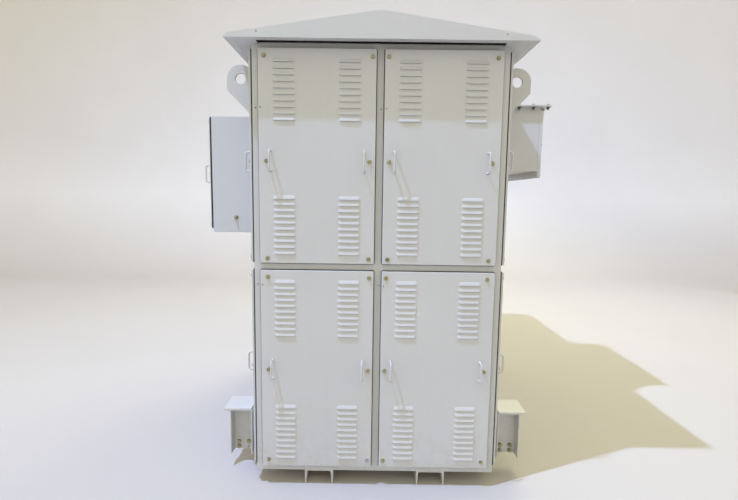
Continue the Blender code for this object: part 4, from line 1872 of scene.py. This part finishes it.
@dataclass(frozen=True)
class LiftingLug:
    """A lifting lug with smooth arcs, welded to its post.

    Attributes:
        node: The solid that it stands for.
        thickness: Thickness of the plate.
        radius: Radius of the arc round the eye.
        arc: How far that arc turns.
        eye: Radius of the eye.
        reaches: Distance of the eye from the post, on the left and the right.
        side_drop: How far below the eye the outer edge ends.
        edge: Radius of the plate's edges.
        arc_steps: Facets of the arc.
        eye_steps: Facets of the eye.
        bead: Radius of the weld beads.
        bead_insets: How far the beads end from the plate's foot and top.
    """

    node: str
    thickness: float = 0.016
    radius: float = 0.072
    arc: float = math.radians(130)
    eye: float = 0.0275
    reaches: tuple[float, float] = (0.111, 0.099)
    side_drop: float = 0.059
    edge: float = 0.0014
    arc_steps: int = 28
    eye_steps: int = 40
    bead: float = 0.0035
    bead_insets: tuple[float, float] = (0.006, 0.004)

    def build(self, assembly: Assembly) -> None:
        """Add the plate and its two weld beads.

        Args:
            assembly: The assembly to add them to.
        """
        low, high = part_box(self.node)
        right = "right" in self.node
        hand, wall = (1.0, low.x) if right else (-1.0, high.x)
        place = Vector((wall, (low.y + high.y) / 2, high.z - self.radius))
        outline, eye = self._outlines(self.reaches[right])
        bm = bmesh.new()
        bm.from_mesh(self._plate((outline, eye)))
        bmesh.ops.remove_doubles(bm, verts=bm.verts, dist=MERGE)
        turn = Matrix.Translation(place) @ Matrix.Diagonal((hand, 1.0, 1.0, 1.0))
        bmesh.ops.transform(
            bm, matrix=turn @ Matrix.Rotation(math.pi / 2, 4, "X"), verts=bm.verts)
        plate = crisp(mesh_of(self.node, bm, outward=True), ROUND_CREASE)
        assembly.add(f"{self.node}_plate", plate, STEEL_PAINT, [self.node])
        foot, top = outline[-1][1] + self.bead_insets[0], outline[0][1] - self.bead_insets[1]
        paths = [
            [place + Vector((0.0, y, foot)), place + Vector((0.0, y, top))]
            for y in (-self.thickness / 2, self.thickness / 2)]
        assembly.add_beads(f"{self.node}_welds", paths, self.bead, hand)

    def _outlines(self, reach: float) -> tuple[list[Point2], list[Point2]]:
        """Lay out the plate's edge and its eye, from the post and the eye's level.

        Args:
            reach: Distance of the eye from the post.

        Returns:
            The plate's outline, from its top at the post to its foot, and the eye's.
        """
        arc = []
        for step in range(self.arc_steps + 1):
            angle = math.pi / 2 - self.arc * (1 - step / self.arc_steps)
            arc.append((
                reach + self.radius * math.sin(angle), self.radius * math.cos(angle)))
        outer = reach + self.radius
        foot = -self.side_drop - reach - self.radius
        outline = [(0.0, arc[0][1]), *arc, (outer, -self.side_drop), (0.0, foot)]
        turns = [math.tau * step / self.eye_steps for step in range(self.eye_steps)]
        eye = [(reach + self.eye * math.cos(a), self.eye * math.sin(a)) for a in turns]
        return outline, eye

    def _plate(self, outlines: Iterable[Sequence[Point2]]) -> bpy.types.Mesh:
        """Cut the plate from its outlines, with rounded edges.

        Args:
            outlines: The outer edge and the holes.

        Returns:
            The plate, lying in XY.
        """
        curve = bpy.data.curves.new("lug", "CURVE")
        curve.dimensions, curve.fill_mode = "2D", "BOTH"
        curve.extrude, curve.bevel_depth = self.thickness / 2 - self.edge, self.edge
        curve.offset, curve.bevel_resolution = -self.edge, 2
        for points in outlines:
            spline = curve.splines.new("POLY")
            spline.points.add(len(points) - 1)
            for point, (u, v) in zip(spline.points, points):
                point.co = (u, v, 0.0, 1.0)
            spline.use_cyclic_u = True
        holder = bpy.data.objects.new("lug", curve)
        bpy.context.scene.collection.objects.link(holder)
        mesh = bpy.data.meshes.new_from_object(
            holder.evaluated_get(bpy.context.evaluated_depsgraph_get()))
        bpy.data.objects.remove(holder, do_unlink=True)
        return mesh


@dataclass(frozen=True)
class JackingBracket:
    """The bolts in a jacking bracket's web and the weld under its cap.

    Attributes:
        node: The bracket's solid.
        seed: Seed of its bolts' random turns.
        absent: Numbers of the bolts that it lacks.
        half: Half the channel's width.
        depth: Its depth.
        web: Thickness of its web.
        height: Its height up to the cap.
        bolts: Places of its bolts, across from its middle and up from its foot.
        bead: Radius of the weld bead.
        bead_drop: How far the bead's middle is below the cap.
        bead_outset: How far it stands out from the channel's sides.
        bead_inset: How far it ends behind the channel's mouth.
    """

    node: str
    seed: int
    absent: Sequence[int] = ()
    half: float = 0.0625
    depth: float = 0.065
    web: float = 0.006
    height: float = 0.256
    bolts: Sequence[Point2] = (
        (-0.0275, 0.013), (0.0275, 0.013), (-0.0275, 0.045), (0.0275, 0.045))
    bead: float = 0.0030
    bead_drop: float = 0.0012
    bead_outset: float = 0.001
    bead_inset: float = 0.004

    def build(self, assembly: Assembly) -> None:
        """Add the bolts and the weld.

        Args:
            assembly: The assembly to add them to.
        """
        low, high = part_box(self.node)
        front, right = self.node.startswith("front"), "right" in self.node
        centre = low.x + self.half if right else high.x - self.half
        way, mouth = (-1.0, low.y) if front else (1.0, high.y)
        web = mouth - way * (self.depth - self.web)
        places = FixingSet(WEB_BOLT)
        for number, (across, rise) in enumerate(self.bolts):
            if number not in self.absent:
                spot = Vector((centre + across, web + way * CLEARANCE, low.z + rise))
                places.put(spot, Vector((0.0, way, 0.0)))
        assembly.add_fixings(f"{self.node}_bolts", places, YELLOW_PLATE, self.seed)
        top, back = low.z + self.height - self.bead_drop, mouth - way * self.depth
        side, end = self.half + self.bead_outset, mouth - way * self.bead_inset
        path = [
            Vector((centre + x, y, top))
            for x, y in ((-side, end), (-side, back), (side, back), (side, end))]
        assembly.add_beads(f"{self.node}_cap_weld", [path], self.bead)


@dataclass(frozen=True)
class CableBox:
    """The fixings round the cable box's flange and on its cover.

    Attributes:
        inset: Distance of the flange's bolts from its edges.
        pitch: Distance from one of them to the next.
        side_count: How many stand along each short side.
        flange: Thickness of the flange under the lid.
        seeds: Seeds of the random turns of lid bolts, nuts and cover bolts.
    """

    inset: float = 0.019
    pitch: float = 0.089
    side_count: int = 4
    flange: float = 0.005
    seeds: tuple[int, int, int] = (5, 6, 7)

    def build(self, assembly: Assembly) -> None:
        """Add every fixing.

        Args:
            assembly: The assembly to add them to.
        """
        heads, nuts, face = FixingSet(LID_BOLT), FixingSet(LID_NUT), FixingSet(BOX_BOLT)
        lid_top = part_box("cable_box_lid")[1].z + CLEARANCE / 2
        flange_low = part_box("cable_box")[1].z - self.flange - CLEARANCE / 2
        for x, y in self._flange_spots():
            heads.put(Vector((x, y, lid_top)), Vector((0.0, 0.0, 1.0)))
            nuts.put(Vector((x, y, flange_low)), Vector((0.0, 0.0, -1.0)))
        for spot in self._cover_spots():
            face.put(spot, Vector((1.0, 0.0, 0.0)))
        for name, places, finish, seed in zip(
            ("cable_box_lid_bolts", "cable_box_flange_nuts", "cable_box_cover_bolts"),
            (heads, nuts, face), (YELLOW_PLATE, BROWN_PLATE, YELLOW_PLATE), self.seeds,
        ):
            assembly.add_fixings(name, places, finish, seed)

    def _flange_spots(self) -> list[Point2]:
        """Lay out the flange's bolts: both short sides, then the long outer one.

        Returns:
            Their places (x, y).
        """
        low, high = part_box("cable_box_lid")
        outer, front, rear = high.x - self.inset, low.y + self.inset, high.y - self.inset
        spots = [
            (outer - k * self.pitch, y) for k in range(self.side_count) for y in (front, rear)]
        gaps = round((rear - front) / self.pitch)
        return spots + [(outer, front + (rear - front) * k / gaps) for k in range(1, gaps)]

    def _cover_spots(self) -> list[Vector]:
        """Lay out the cover's bolts: its corners and the middles of its sides.

        Returns:
            Their places.
        """
        low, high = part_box("cable_box_cover")
        edge, middle = BOX_BOLT_INSET, (low + high) / 2
        return [
            Vector((high.x + CLEARANCE / 2, y, z))
            for y in (low.y + edge, middle.y, high.y - edge)
            for z in (low.z + edge, middle.z, high.z - edge)
            if (y, z) != (middle.y, middle.z)]


@dataclass(frozen=True)
class BondPoints:
    """The small bond points beside a wall's covers' left edges.

    Attributes:
        facing: The wall.
        drops: Their distance below the cover's top edge, by storey.
        on_frame: Place of the one on the frame, from the cover's edge.
        on_cover: Place of the one on the cover.
        seed: Seed of their random turns.
    """

    facing: Facing
    drops: Sequence[tuple[str, float]] = (("upper", 0.279), ("lower", 0.075))
    on_frame: float = -0.017
    on_cover: float = 0.011
    seed: int = 11

    def build(self, assembly: Assembly) -> None:
        """Add the wall's bond points as one piece.

        Args:
            assembly: The assembly to add them to.
        """
        wall = self.facing.name.lower()
        points = FixingSet(BOND_POINT)
        for storey, drop in self.drops:
            for hand in HANDS:
                seat = Seat.of(f"{wall}_{storey}_{hand}_cover", self.facing)
                for across, face in ((self.on_frame, 0.0), (self.on_cover, -COVER_PROUD)):
                    spot = Vector((
                        across - seat.width / 2, face - CLEARANCE / 2, seat.height - drop))
                    points.put(seat.matrix @ spot, self.facing.outward)
        assembly.add_fixings(f"{wall}_bond_points", points, BOND_METAL, self.seed)


# Studio


@dataclass(frozen=True)
class Lamp:
    """A square soft light.

    Attributes:
        name: Its name.
        place: Where it hangs.
        size: Its side.
        power: Its power in watts.
        colour: Its colour.
        even: Whether its light stays as strong at any distance as on its target.
    """

    name: str
    place: tuple[float, float, float]
    size: float
    power: float
    colour: Colour = (1.0, 1.0, 1.0)
    even: bool = False

    def build(self, target: Vector) -> None:
        """Add the light.

        Args:
            target: The point that it is aimed at.
        """
        light = bpy.data.lights.new(self.name, "AREA")
        light.shape, light.size = "SQUARE", self.size
        light.energy, light.color = self.power, self.colour
        lamp = bpy.data.objects.new(self.name, light)
        lamp.location = self.place
        way = target - lamp.location
        lamp.rotation_euler = way.to_track_quat("-Z", "Y").to_euler()
        if self.even:
            light.use_nodes = True
            tree = Tree(light.node_tree)
            reach = tree.node("ShaderNodeLightFalloff", {"Strength": 1 / way.length_squared})
            glow = tree.node("ShaderNodeEmission", {"Strength": reach.outputs["Constant"]})
            tree.node("ShaderNodeOutputLight", {"Surface": glow.outputs[0]})
        lamp.visible_camera = False
        bpy.context.scene.collection.objects.link(lamp)


@dataclass(frozen=True)
class Studio:
    """Camera, lights, pale floor and backdrop.

    Attributes:
        eye: The camera's place.
        pitch: How far it looks down, in radians.
        yaw: How far it looks to the right, in radians.
        roll: How far it leans clockwise, in radians.
        focal_share: Focal length as a share of the picture's width.
        sensor: The sensor's width in millimetres.
        target: The point that the lamps are aimed at.
        surround: Colour of the light from all round.
        surround_strength: Its strength.
        horizon: Colour of the surround where it is seen or mirrored.
        floor_front: Where the floor begins, along y.
        floor_rear: Where it starts to curve up.
        bend: Radius of that curve.
        bend_steps: Facets of that curve.
        top: Height of the backdrop.
        half: Half the floor's width.
    """

    eye: tuple[float, float, float] = (-0.0513, -3.3167, 1.5345)
    pitch: float = 0.1145
    yaw: float = -0.0022
    roll: float = 0.0136
    focal_share: float = 466.09 / 738
    sensor: float = 36.0
    target: tuple[float, float, float] = (0.0, 0.0, 1.1)
    surround: Colour = (1.0, 0.965, 0.74)
    surround_strength: float = 1.1
    horizon: Colour = (0.70, 0.69, 0.67)
    floor_front: float = -12.0
    floor_rear: float = 5.0
    bend: float = 3.0
    bend_steps: int = 16
    top: float = 9.0
    half: float = 14.0

    def build(self, assembly: Assembly) -> None:
        """Add everything that isn't part of the object.

        Args:
            assembly: The assembly, which makes the floor's material.
        """
        self._camera()
        self._floor(assembly)
        for lamp in (
            Lamp("key_light", (-1.8, -2.0, 6.4), 0.08, 410.0, (0.45, 0.58, 1.0), even=True),
            Lamp("left_fill", (-5.74, -2.69, 2.54), 3.5, 20.0, (0.35, 0.55, 1.0)),
            Lamp("rear_light", (2.73, 4.74, 5.47), 3.0, 260.0, (1.0, 1.0, 0.70)),
        ):
            lamp.build(Vector(self.target))
        self._world()

    def _camera(self) -> None:
        """Add the camera at the photograph's view."""
        data = bpy.data.cameras.new("camera")
        data.sensor_width = self.sensor
        data.lens = self.sensor * self.focal_share
        data.clip_start, data.clip_end = 0.05, 200.0
        camera = bpy.data.objects.new("camera", data)
        ahead = Vector((
            math.sin(self.yaw) * math.cos(self.pitch),
            math.cos(self.yaw) * math.cos(self.pitch), -math.sin(self.pitch)))
        right = Vector((math.cos(self.yaw), -math.sin(self.yaw), 0.0))
        above = right.cross(ahead)
        lean_x = right * math.cos(self.roll) + above * math.sin(self.roll)
        lean_y = above * math.cos(self.roll) - right * math.sin(self.roll)
        turn = Matrix((lean_x, lean_y, -ahead)).transposed()
        camera.matrix_world = Matrix.Translation(self.eye) @ turn.to_4x4()
        bpy.context.scene.collection.objects.link(camera)
        bpy.context.scene.camera = camera

    def _floor(self, assembly: Assembly) -> None:
        """Add a floor that curves up into a backdrop.

        Args:
            assembly: The assembly, which makes its material.
        """
        section = [(self.floor_front, 0.0), (self.floor_rear, 0.0)]
        for step in range(1, self.bend_steps + 1):
            angle = math.pi / 2 * step / self.bend_steps
            section.append((
                self.floor_rear + self.bend * math.sin(angle),
                self.bend * (1 - math.cos(angle))))
        section.append((self.floor_rear + self.bend, self.top))
        bm = bmesh.new()
        rows = [[bm.verts.new((x, y, z)) for x in (-self.half, self.half)] for y, z in section]
        for (a, b), (c, d) in zip(rows, rows[1:]):
            bm.faces.new((a, b, d, c))
        mesh = mesh_of("studio_floor", bm)
        mesh.shade_smooth()
        mesh.materials.append(assembly.paint(FLOOR_FINISH))
        floor = bpy.data.objects.new("studio_floor", mesh)
        bpy.context.scene.collection.objects.link(floor)

    def _world(self) -> None:
        """Set an even pale surround, seen in the backdrop's own grey."""
        world = bpy.data.worlds.new("studio")
        world.use_nodes = True
        tree = Tree(world.node_tree)
        light, seen = (
            tree.node("ShaderNodeBackground", {"Color": (*colour, 1.0), "Strength": strength})
            for colour, strength in (
                (self.surround, self.surround_strength), (self.horizon, 1.0)))
        path = tree.node("ShaderNodeLightPath")
        share = path.outputs["Is Camera Ray"]
        for kind in ("Is Glossy Ray", "Is Transmission Ray"):
            share = tree.node(
                "ShaderNodeMath", {0: share, 1: path.outputs[kind]},
                operation="MAXIMUM").outputs[0]
        both = tree.node(
            "ShaderNodeMixShader", {0: share, 1: light.outputs[0], 2: seen.outputs[0]})
        tree.node("ShaderNodeOutputWorld", {"Surface": both.outputs[0]})
        bpy.context.scene.world = world
        bpy.context.scene.view_settings.view_transform = "Standard"


# Main

BRACKET_SEEDS = {"front": 20, "rear": 21}


def main() -> None:
    """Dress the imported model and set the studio."""
    assembly, terminal_box = Assembly(), TerminalBox()
    Studio().build(assembly)
    walls = [
        EndWall(Facing.FRONT), EndWall(Facing.REAR), SideWall(Facing.LEFT),
        SideWall(Facing.RIGHT)]
    covers = [cover for wall in walls for cover in wall.covers()] + [terminal_box.cover()]
    for seed, cover in enumerate(covers):
        cover.build(assembly, seed)
    for solid in carried_solids():
        solid.build(assembly)
    Canopy().build(assembly)
    for end in ENDS:
        for side in HANDS:
            LiftingLug(f"{end}_{side}_lifting_lug").build(assembly)
            absent = (1,) if (end, side) == ("front", "left") else ()
            node = f"{end}_{side}_jacking_bracket"
            JackingBracket(node, BRACKET_SEEDS[end], absent).build(assembly)
    CableBox().build(assembly)
    terminal_box.build_stud(assembly)
    for facing in (Facing.FRONT, Facing.REAR):
        BondPoints(facing).build(assembly)
    LOG.info("%d pieces", len(assembly.names))


logging.basicConfig(level=logging.INFO, format="%(name)s: %(message)s")
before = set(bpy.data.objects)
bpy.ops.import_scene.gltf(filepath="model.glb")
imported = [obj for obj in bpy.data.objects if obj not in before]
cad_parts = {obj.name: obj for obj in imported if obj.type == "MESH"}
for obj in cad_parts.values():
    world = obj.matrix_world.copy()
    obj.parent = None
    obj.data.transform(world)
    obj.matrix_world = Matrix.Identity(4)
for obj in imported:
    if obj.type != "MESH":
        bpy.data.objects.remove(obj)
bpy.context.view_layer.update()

if __name__ == "__main__":
    main()
